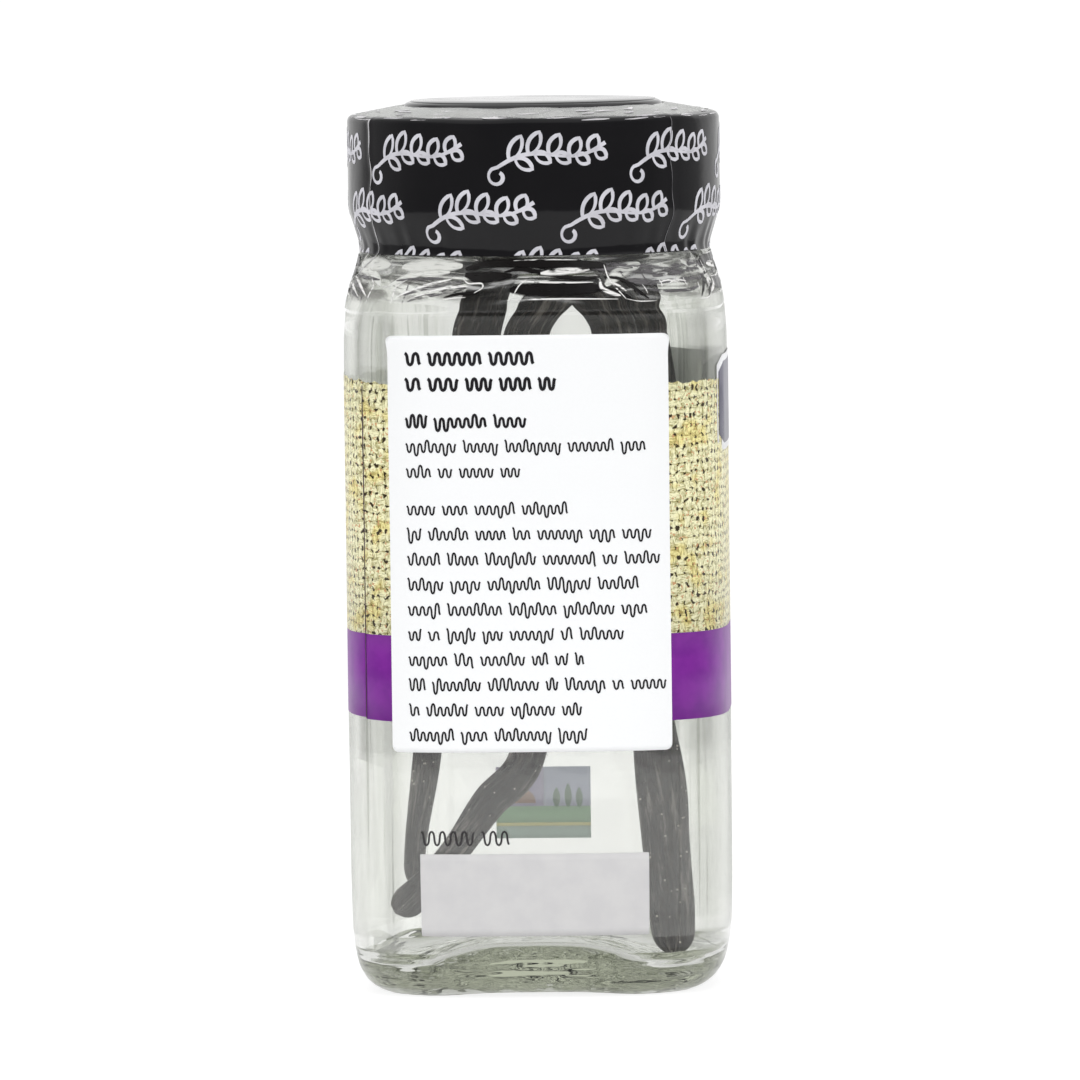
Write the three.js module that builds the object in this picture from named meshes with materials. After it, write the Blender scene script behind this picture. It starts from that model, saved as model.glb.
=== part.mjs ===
// Square glass spice jar with two folded vanilla pods, its screw cap, a shrunk film band over cap and
// shoulder, a wrap-round clear label, a white recipe label and a date patch.
// Millimetres, +Z up. Origin: middle of the jar's footprint, on the surface it stands on.
// The recipe label faces -Y, and +X is to its right.
import * as THREE from "three";

// ---- Driving dimensions -------------------------------------------------------------------------
const SIDES = 48; // points round a jar section, a multiple of 8 so that corners and face middles get one

// Glass body. `half` is half the width across the faces. `power` is the section's superellipse power:
// 2 is round, and more is squarer.
const BODY_HALF = 22.45;
const BODY_POWER = 3.5;
const CAVITY_HALF = 20.6;
const CAVITY_POWER = 3.1;
const FOOT_INNER_HALF = 16.0;
const FOOT_OUTER_HALF = 18.9;
const FOOT_ARCH = 0.45; // lift of the foot between the corners, so that the jar stands on four pads
const PUNT_RISE = 2.0; // hollow under the base
const HEEL_TOP = 7.0;
const WALL_STRAIGHT_FROM = 28.0;
const SHOULDER_BASE = 78.4;
const SHOULDER_TOP = 87.8;
const NECK_RADIUS = 17.6;
const NECK_BORE = 15.3;
const LIP_TOP = 100.9;
const LIP_ROUND = 0.6;
const FLOOR_Z = 3.1; // inside floor at the corners
const FLOOR_HUMP = 1.7; // rise of the inside floor towards its middle
const FLOOR_ARCH = 2.7; // rise of the inside floor's edge in the middle of the front and the back
const SIDE_ARCH_PART = 0.3; // the same rise at the two sides, as a part of it

// Screw cap
const CAP_RADIUS = 21.75;
const CAP_BOTTOM = 92.3;
const CAP_RIM_Z = 103.3;
const CAP_DISC_RADIUS = 15.3;
const CAP_DISC_BASE = 104.4;
const CAP_TOP = 105.1;
const CAP_BORE = 18.4;
const CAP_CEILING = 101.3;
const CAP_EDGE = 0.5;

// Shrunk film band: the printed part grips the cap and dips to the shoulder, the clear skirt below
// follows the glass.
const FILM_THICK = 0.12;
const FILM_RADIUS = 22.05;
const FILM_SKIRT_Z = 80.8;
const FILM_SKIRT_GAP = 0.05;
const FILM_WAIST_RADIUS = 20.75;
const FILM_WAIST_Z = 87.3;
const FILM_RIM_Z = 103.52;
const FILM_OPENING_RADIUS = 15.75;
const FILM_OPENING_Z = 104.6;

// Labels. Gaps are from the glass outwards.
const WRAP = { gap: 0.05, thick: 0.1, from: HEEL_TOP, to: 80.4 };
const RECIPE = { gap: 0.2, thick: 0.12, from: 29.1, to: 78.15, width: 33.3, centre: -0.15, round: 0.7 };
const DATE = { gap: 0.2, thick: 0.08, from: 7.4, to: 17.1, width: 27.0, centre: 0.0, round: 0.15 };

// Pods. Each route runs from one end over the fold to the other end: x, y, z of the middle line, then
// the half width seen from the front and the half thickness.
const POD_SIDES = 10;
const POD_STEPS = 46;
const OUTER_POD = [
  [-17.4, 4.0, 11.6, 1.5, 1.3],
  [-17.1, 4.6, 17.0, 1.6, 1.4],
  [-15.4, 5.0, 27.0, 1.9, 1.4],
  [-13.2, 5.0, 44.0, 2.2, 1.5],
  [-10.7, 4.4, 62.0, 2.7, 1.5],
  [-7.7, 3.5, 77.0, 3.0, 1.4],
  [-5.4, 3.2, 83.6, 2.5, 1.4],
  [-2.6, 3.0, 90.2, 2.2, 1.4],
  [2.2, 3.2, 93.6, 2.1, 1.4],
  [7.2, 3.6, 90.6, 2.2, 1.4],
  [10.8, 4.4, 84.6, 2.3, 1.4],
  [14.7, 5.2, 77.0, 2.5, 1.5],
  [16.3, 5.6, 67.0, 2.5, 1.5],
  [16.2, 6.2, 52.0, 2.2, 1.4],
  [15.2, 6.6, 37.0, 1.4, 1.1],
];
const INNER_POD = [
  [-17.3, -10.5, 9.4, 1.8, 1.3],
  [-11.2, -7.4, 15.6, 1.8, 1.4],
  [-6.3, -6.2, 21.9, 2.0, 1.4],
  [-1.3, -5.5, 27.8, 2.15, 1.5],
  [0.6, -4.0, 44.0, 2.3, 1.5],
  [-0.9, -3.0, 60.0, 2.5, 1.5],
  [-1.6, -2.5, 74.0, 2.6, 1.4],
  [0.8, -2.6, 80.4, 2.4, 1.4],
  [4.8, -2.8, 83.1, 2.3, 1.4],
  [8.8, -3.0, 80.4, 2.5, 1.4],
  [10.8, -3.6, 74.0, 2.7, 1.5],
  [12.8, -5.0, 54.0, 2.7, 1.6],
  [14.0, -6.6, 34.0, 2.6, 1.6],
  [15.1, -7.4, 22.2, 2.75, 1.6],
  [15.6, -8.0, 14.0, 2.55, 1.6],
  [15.9, -8.4, 8.4, 2.25, 1.5],
  [16.2, -8.9, 4.2, 1.9, 1.4],
];

// ---- Sections and skins -------------------------------------------------------------------------
// Each row of a profile is one level of the wall: { z, half, power }.
const row = (z, half, power) => ({ z, half, power });

// Points of a rounded-square section, moved outwards by `offset` along its normals.
function section({ half, power }, offset = 0) {
  const bend = (value) => Math.sign(value) * Math.abs(value) ** (2 / power);
  const slope = (value) => Math.sign(value) * Math.abs(value / half) ** (power - 1);
  return Array.from({ length: SIDES }, (_, i) => {
    const turn = (i / SIDES) * 2 * Math.PI;
    const point = new THREE.Vector2(half * bend(Math.cos(turn)), half * bend(Math.sin(turn)));
    const normal = new THREE.Vector2(slope(point.x), slope(point.y)).normalize();
    return point.addScaledVector(normal, offset);
  });
}

// A level ring of points at a row's height, lifted point by point where `lift` is given.
const ring = (level, offset = 0, lift = () => 0) =>
  section(level, offset).map((p, i) => new THREE.Vector3(p.x, p.y, level.z + lift(i)));

const polygonRing = (radius, z) => ring(row(z, radius, 2));
const tip = (z) => [new THREE.Vector3(0, 0, z)];

// The wall's row at any height between two rows of its profile.
function wallAt(profile, z) {
  const above = Math.max(1, profile.findIndex((level) => level.z >= z));
  const [low, high] = [profile[above - 1], profile[above]];
  const part = (z - low.z) / (high.z - low.z);
  return row(z, low.half + part * (high.half - low.half), low.power + part * (high.power - low.power));
}

// Rows of a profile between two heights, with both ends.
const stretch = (profile, from, to) => [
  wallAt(profile, from),
  ...profile.filter((level) => level.z > from && level.z < to),
  wallAt(profile, to),
];

// One closed surface through loops of points. A loop of one point is a tip. A loop pair of unlike
// sizes always has a tip in it. `closed` joins the last loop to the first, and other ends without a
// tip get a flat fan.
function skin(loops, closed = false) {
  const starts = [];
  const positions = [];
  for (const loop of loops) {
    starts.push(positions.length / 3);
    for (const point of loop) positions.push(point.x, point.y, point.z);
  }
  const faces = [];
  const bridges = closed ? loops.length : loops.length - 1;
  for (let k = 0; k < bridges; k++) {
    const next = (k + 1) % loops.length;
    const count = Math.max(loops[k].length, loops[next].length);
    const at = (loop, i) => starts[loop] + (loops[loop].length === 1 ? 0 : i % count);
    for (let i = 0; i < count; i++) {
      if (loops[k].length > 1) faces.push(at(k, i), at(k, i + 1), at(next, i));
      if (loops[next].length > 1) faces.push(at(k, i + 1), at(next, i + 1), at(next, i));
    }
  }
  if (!closed) {
    const last = loops.length - 1;
    for (let i = 1; i < loops[0].length - 1; i++) faces.push(starts[0], starts[0] + i + 1, starts[0] + i);
    for (let i = 1; i < loops[last].length - 1; i++) {
      faces.push(starts[last], starts[last] + i, starts[last] + i + 1);
    }
  }
  const geometry = new THREE.BufferGeometry();
  geometry.setAttribute("position", new THREE.Float32BufferAttribute(positions, 3));
  geometry.setIndex(faces);
  geometry.computeVertexNormals();
  return geometry;
}

const group = new THREE.Group();

function add(name, geometry, look) {
  const mesh = new THREE.Mesh(geometry, new THREE.MeshStandardMaterial(look));
  mesh.name = name;
  group.add(mesh);
}

// ---- Glass jar ----------------------------------------------------------------------------------
// Outside of the glass from the heel to the root of the neck. The shoulder keeps the square faces
// almost to its top and only there rounds off to the neck.
const outerWall = [
  row(0.0, FOOT_OUTER_HALF, 3.2),
  row(0.5, 20.0, 3.3),
  row(1.5, 21.0, 3.4),
  row(3.4, 21.8, BODY_POWER),
  row(HEEL_TOP, BODY_HALF - 0.15, BODY_POWER),
  row(WALL_STRAIGHT_FROM, BODY_HALF, BODY_POWER),
  row(SHOULDER_BASE, BODY_HALF, BODY_POWER),
  row(81.0, 22.15, 3.3),
  row(83.2, 21.7, 3.0),
  row(85.2, 21.05, 2.6),
  row(86.5, 20.3, 2.3),
  row(87.3, 19.2, 2.1),
  row(SHOULDER_TOP, NECK_RADIUS + 0.5, 2),
];

// Inside of the glass from the floor's edge to the root of the neck.
const innerWall = [
  row(FLOOR_Z + 0.1, 17.8, 2.9),
  row(FLOOR_Z + 0.5, 19.4, 3.0),
  row(FLOOR_Z + 1.4, 20.2, CAVITY_POWER),
  row(8.0, CAVITY_HALF, CAVITY_POWER),
  row(SHOULDER_BASE, CAVITY_HALF, CAVITY_POWER),
  row(81.6, 20.1, 2.9),
  row(83.6, 19.6, 2.65),
  row(85.0, 18.9, 2.4),
  row(85.8, 18.1, 2.2),
  row(86.4, 17.1, 2.05),
  row(87.2, 16.2, 2),
  row(88.6, NECK_BORE, 2),
];

// Part of an arch's height at the i-th point of a ring: 0 over the corner pads, 1 mid face.
const archAt = (i) => THREE.MathUtils.smoothstep(Math.abs(Math.cos((i / SIDES) * 4 * Math.PI)), 0.3, 1);
const footArch = (i) => FOOT_ARCH * archAt(i);

// The inside floor's edge rises in an arch too, high in front and at the back and low at the sides.
const floorArch = (part) => (i) => {
  const atSides = Math.cos((i / SIDES) * 4 * Math.PI) > 0;
  return FLOOR_ARCH * part * archAt(i) * (atSides ? SIDE_ARCH_PART : 1);
};
const FLOOR_ARCH_PARTS = [1, 0.97, 0.85];

function jarGeometry() {
  const foot = [
    tip(PUNT_RISE),
    ring(row(PUNT_RISE - 0.25, 7.0, 2.2)),
    ring(row(0.9, 13.2, 2.7)),
    ring(row(0, FOOT_INNER_HALF, 3.0), 0, footArch),
    ring(outerWall[0], 0, footArch),
    ring(outerWall[1], 0, (i) => footArch(i) / 2),
  ];
  const neck = [
    polygonRing(NECK_RADIUS, SHOULDER_TOP + 0.5),
    polygonRing(NECK_RADIUS, LIP_TOP - LIP_ROUND),
    polygonRing(NECK_RADIUS - LIP_ROUND, LIP_TOP),
    polygonRing(NECK_BORE + LIP_ROUND, LIP_TOP),
    polygonRing(NECK_BORE, LIP_TOP - LIP_ROUND),
  ];
  const floor = [
    ring(row(FLOOR_Z, 15.0, 2.6), 0, floorArch(0.85)),
    ring(row(FLOOR_Z + FLOOR_HUMP * 0.5, 9.0, 2), 0, floorArch(0.35)),
    ring(row(FLOOR_Z + FLOOR_HUMP * 0.9, 4.0, 2)),
    tip(FLOOR_Z + FLOOR_HUMP),
  ];
  const outside = outerWall.slice(2).map((level) => ring(level));
  const inside = innerWall.map((level, k) => ring(level, 0, floorArch(FLOOR_ARCH_PARTS[k] ?? 0)));
  return skin([...foot, ...outside, ...neck, ...inside.toReversed(), ...floor]);
}

add("jar", jarGeometry(), { color: 0xd9dfd8, roughness: 0.03, transparent: true, opacity: 0.35 });

// ---- Screw cap ----------------------------------------------------------------------------------
// A shell that is open below, with a shallow cone on top and a raised disc in its middle.
function capGeometry() {
  const outline = [
    [0, CAP_CEILING],
    [CAP_BORE, CAP_CEILING],
    [CAP_BORE, CAP_BOTTOM + CAP_EDGE],
    [CAP_BORE + CAP_EDGE, CAP_BOTTOM],
    [CAP_RADIUS - CAP_EDGE, CAP_BOTTOM],
    [CAP_RADIUS, CAP_BOTTOM + CAP_EDGE],
    [CAP_RADIUS, CAP_RIM_Z - CAP_EDGE],
    [CAP_RADIUS - 0.15, CAP_RIM_Z - 0.15],
    [CAP_RADIUS - CAP_EDGE, CAP_RIM_Z],
    [CAP_DISC_RADIUS, CAP_DISC_BASE],
    [CAP_DISC_RADIUS, CAP_TOP - CAP_EDGE / 2],
    [CAP_DISC_RADIUS - CAP_EDGE / 2, CAP_TOP],
    [0, CAP_TOP],
  ];
  const points = outline.map(([radius, z]) => new THREE.Vector2(radius, z));
  return new THREE.LatheGeometry(points, SIDES).rotateX(Math.PI / 2);
}

add("cap", capGeometry(), { color: 0x232323, roughness: 0.35 });

// ---- Shrink band --------------------------------------------------------------------------------
// Both faces of the film follow the same rows: the glass of the shoulder, the dip under the cap, the
// cap's side, and over its rim to the opening round the disc.
function filmGeometry() {
  const shoulder = stretch(outerWall, FILM_SKIRT_Z, 85.2).map((level) => [
    ring(level, FILM_SKIRT_GAP),
    ring(level, FILM_SKIRT_GAP + FILM_THICK),
  ]);
  const bare = [
    [FILM_WAIST_RADIUS, FILM_WAIST_Z],
    [FILM_WAIST_RADIUS + 0.05, FILM_WAIST_Z + 1.0],
    [FILM_RADIUS - 0.15, CAP_BOTTOM - 0.4],
    [FILM_RADIUS, CAP_BOTTOM + 0.6],
    [FILM_RADIUS, FILM_RIM_Z - 0.6],
    [FILM_RADIUS - 0.1, FILM_RIM_Z - 0.2],
    [FILM_RADIUS - 0.4, FILM_RIM_Z],
    [FILM_OPENING_RADIUS, FILM_OPENING_Z],
  ].map(([radius, z], i) => {
    const overRim = i >= 6 ? 1 : 0; // there the film lies flat, so its thickness is downwards
    const inner = polygonRing(radius - FILM_THICK * (1 - overRim), z - FILM_THICK * overRim);
    return [inner, polygonRing(radius, z)];
  });
  const rows = [...shoulder, ...bare];
  const outside = rows.map(([, outer]) => outer);
  const inside = rows.map(([inner]) => inner).toReversed();
  return skin([...outside, ...inside], true);
}

add("shrink_band", filmGeometry(), { color: 0x232326, roughness: 0.25 });

// ---- Labels -------------------------------------------------------------------------------------
// The clear label goes all the way round the glass.
function wrapGeometry() {
  const levels = stretch(outerWall, WRAP.from, WRAP.to);
  const outside = levels.map((level) => ring(level, WRAP.gap + WRAP.thick));
  const inside = levels.map((level) => ring(level, WRAP.gap)).toReversed();
  return skin([...outside, ...inside], true);
}

// A sticker on the front face. It is built column by column from left to right, and each column is a
// loop of its four corners, shorter where the sticker's corners are rounded.
function stickerGeometry({ gap, thick, from, to, width, centre, round }) {
  const faces = [gap, gap + thick].map((offset) => [wallAt(outerWall, from), wallAt(outerWall, to)]
    .map((level) => section(level, offset).filter((p) => p.y < 0).sort((a, b) => a.x - b.x)));
  const depthAt = (front, x) => {
    const right = front.findIndex((p) => p.x >= x);
    const part = (x - front[right - 1].x) / (front[right].x - front[right - 1].x);
    return THREE.MathUtils.lerp(front[right - 1].y, front[right].y, part);
  };
  const [left, right] = [centre - width / 2, centre + width / 2];
  const corner = [0, 0.15, 0.5, 1].map((part) => part * round);
  const bends = faces[0][0].map((p) => p.x).filter((x) => x > left + round && x < right - round);
  const columns = [...corner.map((d) => left + d), ...bends, ...corner.map((d) => right - d).toReversed()];
  const loops = columns.map((x) => {
    const fromEnd = Math.min(x - left, right - x, round);
    const inset = round - Math.sqrt(round ** 2 - (round - fromEnd) ** 2);
    const [inner, outer] = faces.map(([low, high]) => [
      new THREE.Vector3(x, depthAt(low, x), from + inset),
      new THREE.Vector3(x, depthAt(high, x), to - inset),
    ]);
    return [inner[0], inner[1], outer[1], outer[0]];
  });
  return skin(loops);
}

add("wrap_label", wrapGeometry(), { color: 0xd8c98a, roughness: 0.35 });
add("recipe_label", stickerGeometry(RECIPE), { color: 0xfcfdfe, roughness: 0.4 });
add("date_patch", stickerGeometry(DATE), { color: 0xd4d3d4, roughness: 0.4 });

// ---- Vanilla pods -------------------------------------------------------------------------------
// A flat oval section swept along the route, drawn in to a blunt point at both ends. The oval's wide
// way stays across the view from the front.
function podGeometry(route) {
  const line = new THREE.CatmullRomCurve3(route.map(([x, y, z]) => new THREE.Vector3(x, y, z)));
  const sizeAt = (part, column) => {
    const along = part * (route.length - 1);
    const low = Math.min(Math.floor(along), route.length - 2);
    return THREE.MathUtils.lerp(route[low][column], route[low + 1][column], along - low);
  };
  const loops = [];
  for (let step = 0; step <= POD_STEPS; step++) {
    const part = step / POD_STEPS;
    const centre = line.getPoint(part);
    if (step === 0 || step === POD_STEPS) {
      loops.push([centre]);
      continue;
    }
    const taper = step === 1 || step === POD_STEPS - 1 ? 0.75 : 1;
    const along = line.getTangent(part);
    const deep = new THREE.Vector3(0, 1, 0).addScaledVector(along, -along.y).normalize();
    const across = new THREE.Vector3().crossVectors(deep, along);
    loops.push(Array.from({ length: POD_SIDES }, (_, i) => {
      const turn = (i / POD_SIDES) * 2 * Math.PI;
      return centre.clone()
        .addScaledVector(across, sizeAt(part, 3) * taper * Math.cos(turn))
        .addScaledVector(deep, sizeAt(part, 4) * taper * Math.sin(turn));
    }));
  }
  return skin(loops);
}

const podLook = { color: 0x2a211c, roughness: 0.55 };
add("pod_outer", podGeometry(OUTER_POD), podLook);
add("pod_inner", podGeometry(INNER_POD), podLook);

export default group;
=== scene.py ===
"""Looks of a square glass spice jar with folded vanilla pods, its shrink band and its labels.

The scene is in metres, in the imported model's frame: the jar stands on z = 0 round the z axis, and the
recipe label faces -Y. Sizes of the jar and of what is on and in it are given in millimetres, and
multiplied by MM where a mesh is made of them.
"""
import math

import bmesh
import bpy
import numpy as np
from mathutils import Matrix, Vector, noise


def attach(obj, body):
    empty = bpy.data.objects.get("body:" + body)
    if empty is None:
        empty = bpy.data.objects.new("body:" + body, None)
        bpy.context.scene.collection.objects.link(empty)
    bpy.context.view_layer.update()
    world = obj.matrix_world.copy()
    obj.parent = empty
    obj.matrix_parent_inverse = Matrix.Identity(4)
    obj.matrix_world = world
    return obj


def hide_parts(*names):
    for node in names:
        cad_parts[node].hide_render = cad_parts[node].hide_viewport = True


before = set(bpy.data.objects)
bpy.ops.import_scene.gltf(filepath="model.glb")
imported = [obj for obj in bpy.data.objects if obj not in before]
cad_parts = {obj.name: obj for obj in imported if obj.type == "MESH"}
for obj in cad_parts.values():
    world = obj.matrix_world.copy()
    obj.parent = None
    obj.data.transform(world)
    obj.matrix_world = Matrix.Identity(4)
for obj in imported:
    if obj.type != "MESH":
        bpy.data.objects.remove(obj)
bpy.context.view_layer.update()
scene = bpy.context.scene

# ---- Camera -------------------------------------------------------------------------------------
# A long lens a little above the cap and a little to the right of the label's middle.
CAMERA_DISTANCE = 1.9
CAMERA_HEIGHT = 0.165
CAMERA_AZIMUTH = math.radians(2.4)
CAMERA_ROLL = math.radians(-0.72)
LOOK_AT = Vector((0.0002, 0.0, 0.0527))
FIELD_WIDTH = 0.1283
SENSOR = 36.0


def shown(name, data):
    """Puts an object into the scene."""
    made = bpy.data.objects.new(name, data)
    scene.collection.objects.link(made)
    return made


camera_data = bpy.data.cameras.new("camera")
camera = shown("camera", camera_data)
camera.location = (
    CAMERA_DISTANCE * math.sin(CAMERA_AZIMUTH),
    -CAMERA_DISTANCE * math.cos(CAMERA_AZIMUTH),
    CAMERA_HEIGHT,
)
sight = LOOK_AT - camera.location
camera.rotation_euler = (
    sight.to_track_quat("-Z", "Y").to_matrix() @ Matrix.Rotation(CAMERA_ROLL, 3, "Z")
).to_euler()
camera_data.sensor_width = SENSOR
camera_data.lens = SENSOR * sight.length / FIELD_WIDTH
camera_data.clip_end = 20.0
scene.camera = camera
scene.view_settings.view_transform = "Standard"
scene.cycles.max_bounces = 32
scene.cycles.transmission_bounces = 18
scene.cycles.transparent_max_bounces = 28
scene.cycles.glossy_bounces = 20
scene.cycles.diffuse_bounces = 4


# ---- Studio -------------------------------------------------------------------------------------
# A white floor under a white surround. What the glass and the film mirror is bright behind the jar
# and greyer to the sides and the front, so that their edges draw dark lines on white.
def put(tree, kind, inputs=None, **settings):
    """Adds a node. An input is given a value, or another node's output to link to."""
    made = tree.nodes.new(kind)
    for name, value in settings.items():
        setattr(made, name, value)
    for key, value in (inputs or {}).items():
        if isinstance(value, bpy.types.NodeSocket):
            tree.links.new(value, made.inputs[key])
        else:
            made.inputs[key].default_value = value
    return made


def maths(tree, operation, first, second=0.0, third=0.0):
    return put(tree, "ShaderNodeMath", {0: first, 1: second, 2: third}, operation=operation).outputs[0]


def times(tree, first, *others):
    """The product of two or more values."""
    for other in others:
        first = maths(tree, "MULTIPLY", first, other)
    return first


def fade(tree, value, low, high, to_low=0.0, to_high=1.0):
    """A smooth step of a value from one end of a range to the other."""
    inputs = {"Value": value, "From Min": low, "From Max": high, "To Min": to_low, "To Max": to_high}
    return put(tree, "ShaderNodeMapRange", inputs, interpolation_type="SMOOTHSTEP").outputs[0]


def blend(tree, part, first, second):
    """Mixes two colours."""
    return put(tree, "ShaderNodeMix", {0: part, 6: first, 7: second}, data_type="RGBA").outputs[2]


def mixed(tree, part, first, second):
    """Mixes two shaders."""
    return put(tree, "ShaderNodeMixShader", {0: part, 1: first.outputs[0], 2: second.outputs[0]})


def rgb(red, green, blue):
    """A colour given in the screen's 0 to 255 values."""
    def light(value):
        part = value / 255
        return part / 12.92 if part <= 0.04045 else ((part + 0.055) / 1.055) ** 2.4
    return (light(red), light(green), light(blue), 1.0)


def material(name):
    made = bpy.data.materials.new(name)
    made.use_nodes = True
    made.node_tree.nodes.clear()
    return made, made.node_tree


def finished(look, shader, volume=None):
    """Closes a material's tree with what its surface, and where it has one its inside, is made of."""
    output = {"Surface": shader.outputs[0]}
    if volume:
        output["Volume"] = volume.outputs[0]
    put(look.node_tree, "ShaderNodeOutputMaterial", output)
    return look


def in_object(tree):
    return put(tree, "ShaderNodeTexCoord").outputs["Object"]


def bumps(tree, height, strength, depth):
    inputs = {"Height": height, "Strength": strength, "Distance": depth}
    return put(tree, "ShaderNodeBump", inputs).outputs[0]


def coat(tree, colour, roughness, others=None, relief=None):
    """A surface shader. `relief` is its bumps: what they follow, their strength, and their depth."""
    inputs = {"Base Color": colour, "Roughness": roughness, **(others or {})}
    if relief:
        inputs["Normal"] = bumps(tree, *relief)
    return put(tree, "ShaderNodeBsdfPrincipled", inputs)


SURROUND_BEHIND = 1.0
SURROUND_SIDES = 0.42
SURROUND_FRONT = 0.15
SURROUND_ABOVE = 1.0
JAR_MIDDLE = (0.0, 0.0, 0.055)

world = bpy.data.worlds.new("studio")
scene.world = world
world.use_nodes = True
sky = world.node_tree
sky.nodes.clear()
direction = put(sky, "ShaderNodeNewGeometry").outputs["Incoming"]
_, toward_y, toward_z = put(sky, "ShaderNodeSeparateXYZ", {0: direction}).outputs
away = times(sky, toward_y, -1.0)
front_to_side = fade(sky, away, -0.6, 0.5, SURROUND_FRONT, SURROUND_SIDES)
side_to_back = fade(sky, away, 0.56, 0.72, 0.0, SURROUND_BEHIND - SURROUND_SIDES)
overhead = fade(sky, times(sky, toward_z, -1.0), 0.45, 0.75, 0.0, SURROUND_ABOVE)
surround = maths(sky, "MAXIMUM", maths(sky, "ADD", front_to_side, side_to_back), overhead)
seen = put(sky, "ShaderNodeBackground", {"Color": (1, 1, 1, 1), "Strength": 1.05})
mirrored = put(sky, "ShaderNodeBackground", {"Color": (1, 1, 1, 1), "Strength": surround})
which = put(sky, "ShaderNodeLightPath").outputs["Is Camera Ray"]
put(sky, "ShaderNodeOutputWorld", {"Surface": mixed(sky, which, mirrored, seen).outputs[0]})


def softbox(name, place, width, height, power):
    """A lamp that looks at the jar's middle and that the glass doesn't mirror."""
    data = bpy.data.lights.new(name, "AREA")
    data.shape = "RECTANGLE"
    data.size = width
    data.size_y = height
    data.energy = power
    lamp = shown(name, data)
    lamp.location = place
    lamp.rotation_euler = (Vector(JAR_MIDDLE) - lamp.location).to_track_quat("-Z", "Y").to_euler()
    lamp.visible_glossy = False
    lamp.visible_transmission = False


softbox("softbox_left", (-0.95, -0.75, 0.45), 0.6, 0.9, 6.0)
softbox("softbox_right", (0.95, -0.75, 0.45), 0.6, 0.9, 6.0)
softbox("softbox_top", (0.0, 0.1, 1.3), 1.2, 1.2, 5.6)

FLOOR_RADIUS = 0.4
FLOOR_SIDES = 96
FLOOR_TO_CAMERA = 0.85
FLOOR_TO_GLASS_NEAR = 0.6
FLOOR_TO_GLASS_FAR = 0.78
floor_mesh = bpy.data.meshes.new("floor")
floor_rim = [(FLOOR_RADIUS * math.cos(turn), FLOOR_RADIUS * math.sin(turn), 0)
             for turn in np.arange(FLOOR_SIDES) / FLOOR_SIDES * 2 * math.pi]
floor_mesh.from_pydata(floor_rim, [], [range(FLOOR_SIDES)])
floor = shown("floor", floor_mesh)
floor_look, tree = material("pale_floor")
from_jar = put(tree, "ShaderNodeVectorMath", {0: in_object(tree)}, operation="LENGTH").outputs["Value"]
# The glow that the glass sees is dimmer near the jar: a painted shadow under it.
to_glass = fade(tree, from_jar, 0.03, 0.14, FLOOR_TO_GLASS_NEAR, FLOOR_TO_GLASS_FAR)
looked_at = put(tree, "ShaderNodeLightPath").outputs["Is Camera Ray"]
floor_glow = put(tree, "ShaderNodeMix", {0: looked_at, 2: to_glass, 3: FLOOR_TO_CAMERA}).outputs[0]
floor_mesh.materials.append(finished(floor_look, coat(tree, (0.25, 0.25, 0.25, 1), 0.8, {
    "Specular IOR Level": 0.1, "Emission Color": (1, 1, 1, 1), "Emission Strength": floor_glow})))

# ---- Glass jar ----------------------------------------------------------------------------------
# Pressed clear glass, slightly green where it is thick: square with convex faces, an arched foot
# with a punt, a humped floor, and a shoulder that stays square almost up to the round neck.
MM = 0.001
JAR_COLUMNS = 288
CORNER_CROWDING = 0.4  # how much closer the columns stand at the corners
NECK_RADIUS = 17.6
NECK_BORE = 15.3
LIP_TOP = 100.9
LIP_ROUND = 0.6
# Each row is a level of the glass: height, half width across the faces, squareness (2 is round), and
# how far it rises in an arch between the corners.
FOOT_ROWS = [
    (2.0, 0.05, 2.0, 0), (1.75, 7.0, 2.2, 0), (0.9, 13.2, 2.7, 0.03), (0.12, 15.4, 3.0, 0.36),
    (0.0, 16.2, 3.0, 0.45),
]
OUTER_ROWS = [
    (0.0, 18.9, 3.2, 0.45), (0.5, 20.0, 3.3, 0.38), (1.5, 21.0, 3.4, 0.25), (3.4, 21.8, 3.5, 0),
    (7.0, 22.3, 3.5, 0), (28.0, 22.45, 3.5, 0), (53.0, 22.45, 3.5, 0), (78.4, 22.45, 3.5, 0),
    (81.0, 22.15, 3.3, 0), (83.2, 21.7, 3.0, 0), (85.2, 21.05, 2.6, 0), (86.5, 20.3, 2.3, 0),
    (87.3, 19.2, 2.1, 0), (87.8, 18.1, 2.0, 0),
]
NECK_ROWS = [
    (88.3, NECK_RADIUS, 2.0, 0), (94.0, NECK_RADIUS, 2.0, 0), (LIP_TOP - LIP_ROUND, NECK_RADIUS, 2.0, 0),
    (LIP_TOP, NECK_RADIUS - LIP_ROUND, 2.0, 0), (LIP_TOP, NECK_BORE + LIP_ROUND, 2.0, 0),
    (LIP_TOP - LIP_ROUND, NECK_BORE, 2.0, 0), (94.0, NECK_BORE, 2.0, 0),
]
INNER_ROWS = [
    (88.6, 15.3, 2.0, 0), (87.2, 16.2, 2.0, 0), (86.4, 17.1, 2.05, 0), (85.8, 18.1, 2.2, 0),
    (85.0, 18.9, 2.4, 0), (83.6, 19.6, 2.65, 0), (81.6, 20.1, 2.9, 0), (78.4, 20.6, 3.1, 0),
    (44.0, 20.6, 3.1, 0), (12.0, 20.6, 3.1, 0), (8.0, 20.6, 3.1, 0), (4.3, 20.35, 3.1, 2.4),
    (3.55, 19.8, 3.05, 2.62), (3.2, 18.4, 2.95, 2.7),
]
FLOOR_ROWS = [(3.1, 15.0, 2.6, 2.3), (3.95, 9.0, 2.0, 0.95), (4.63, 4.0, 2.0, 0), (4.8, 0.05, 2.0, 0)]
SIDE_ARCH_PART = 0.3  # the inside floor's arch at the two sides, as a part of that in front
LUMPS = ((0.4, 0.42), (0.95, 0.2))  # how many to a millimetre and how high
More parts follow.
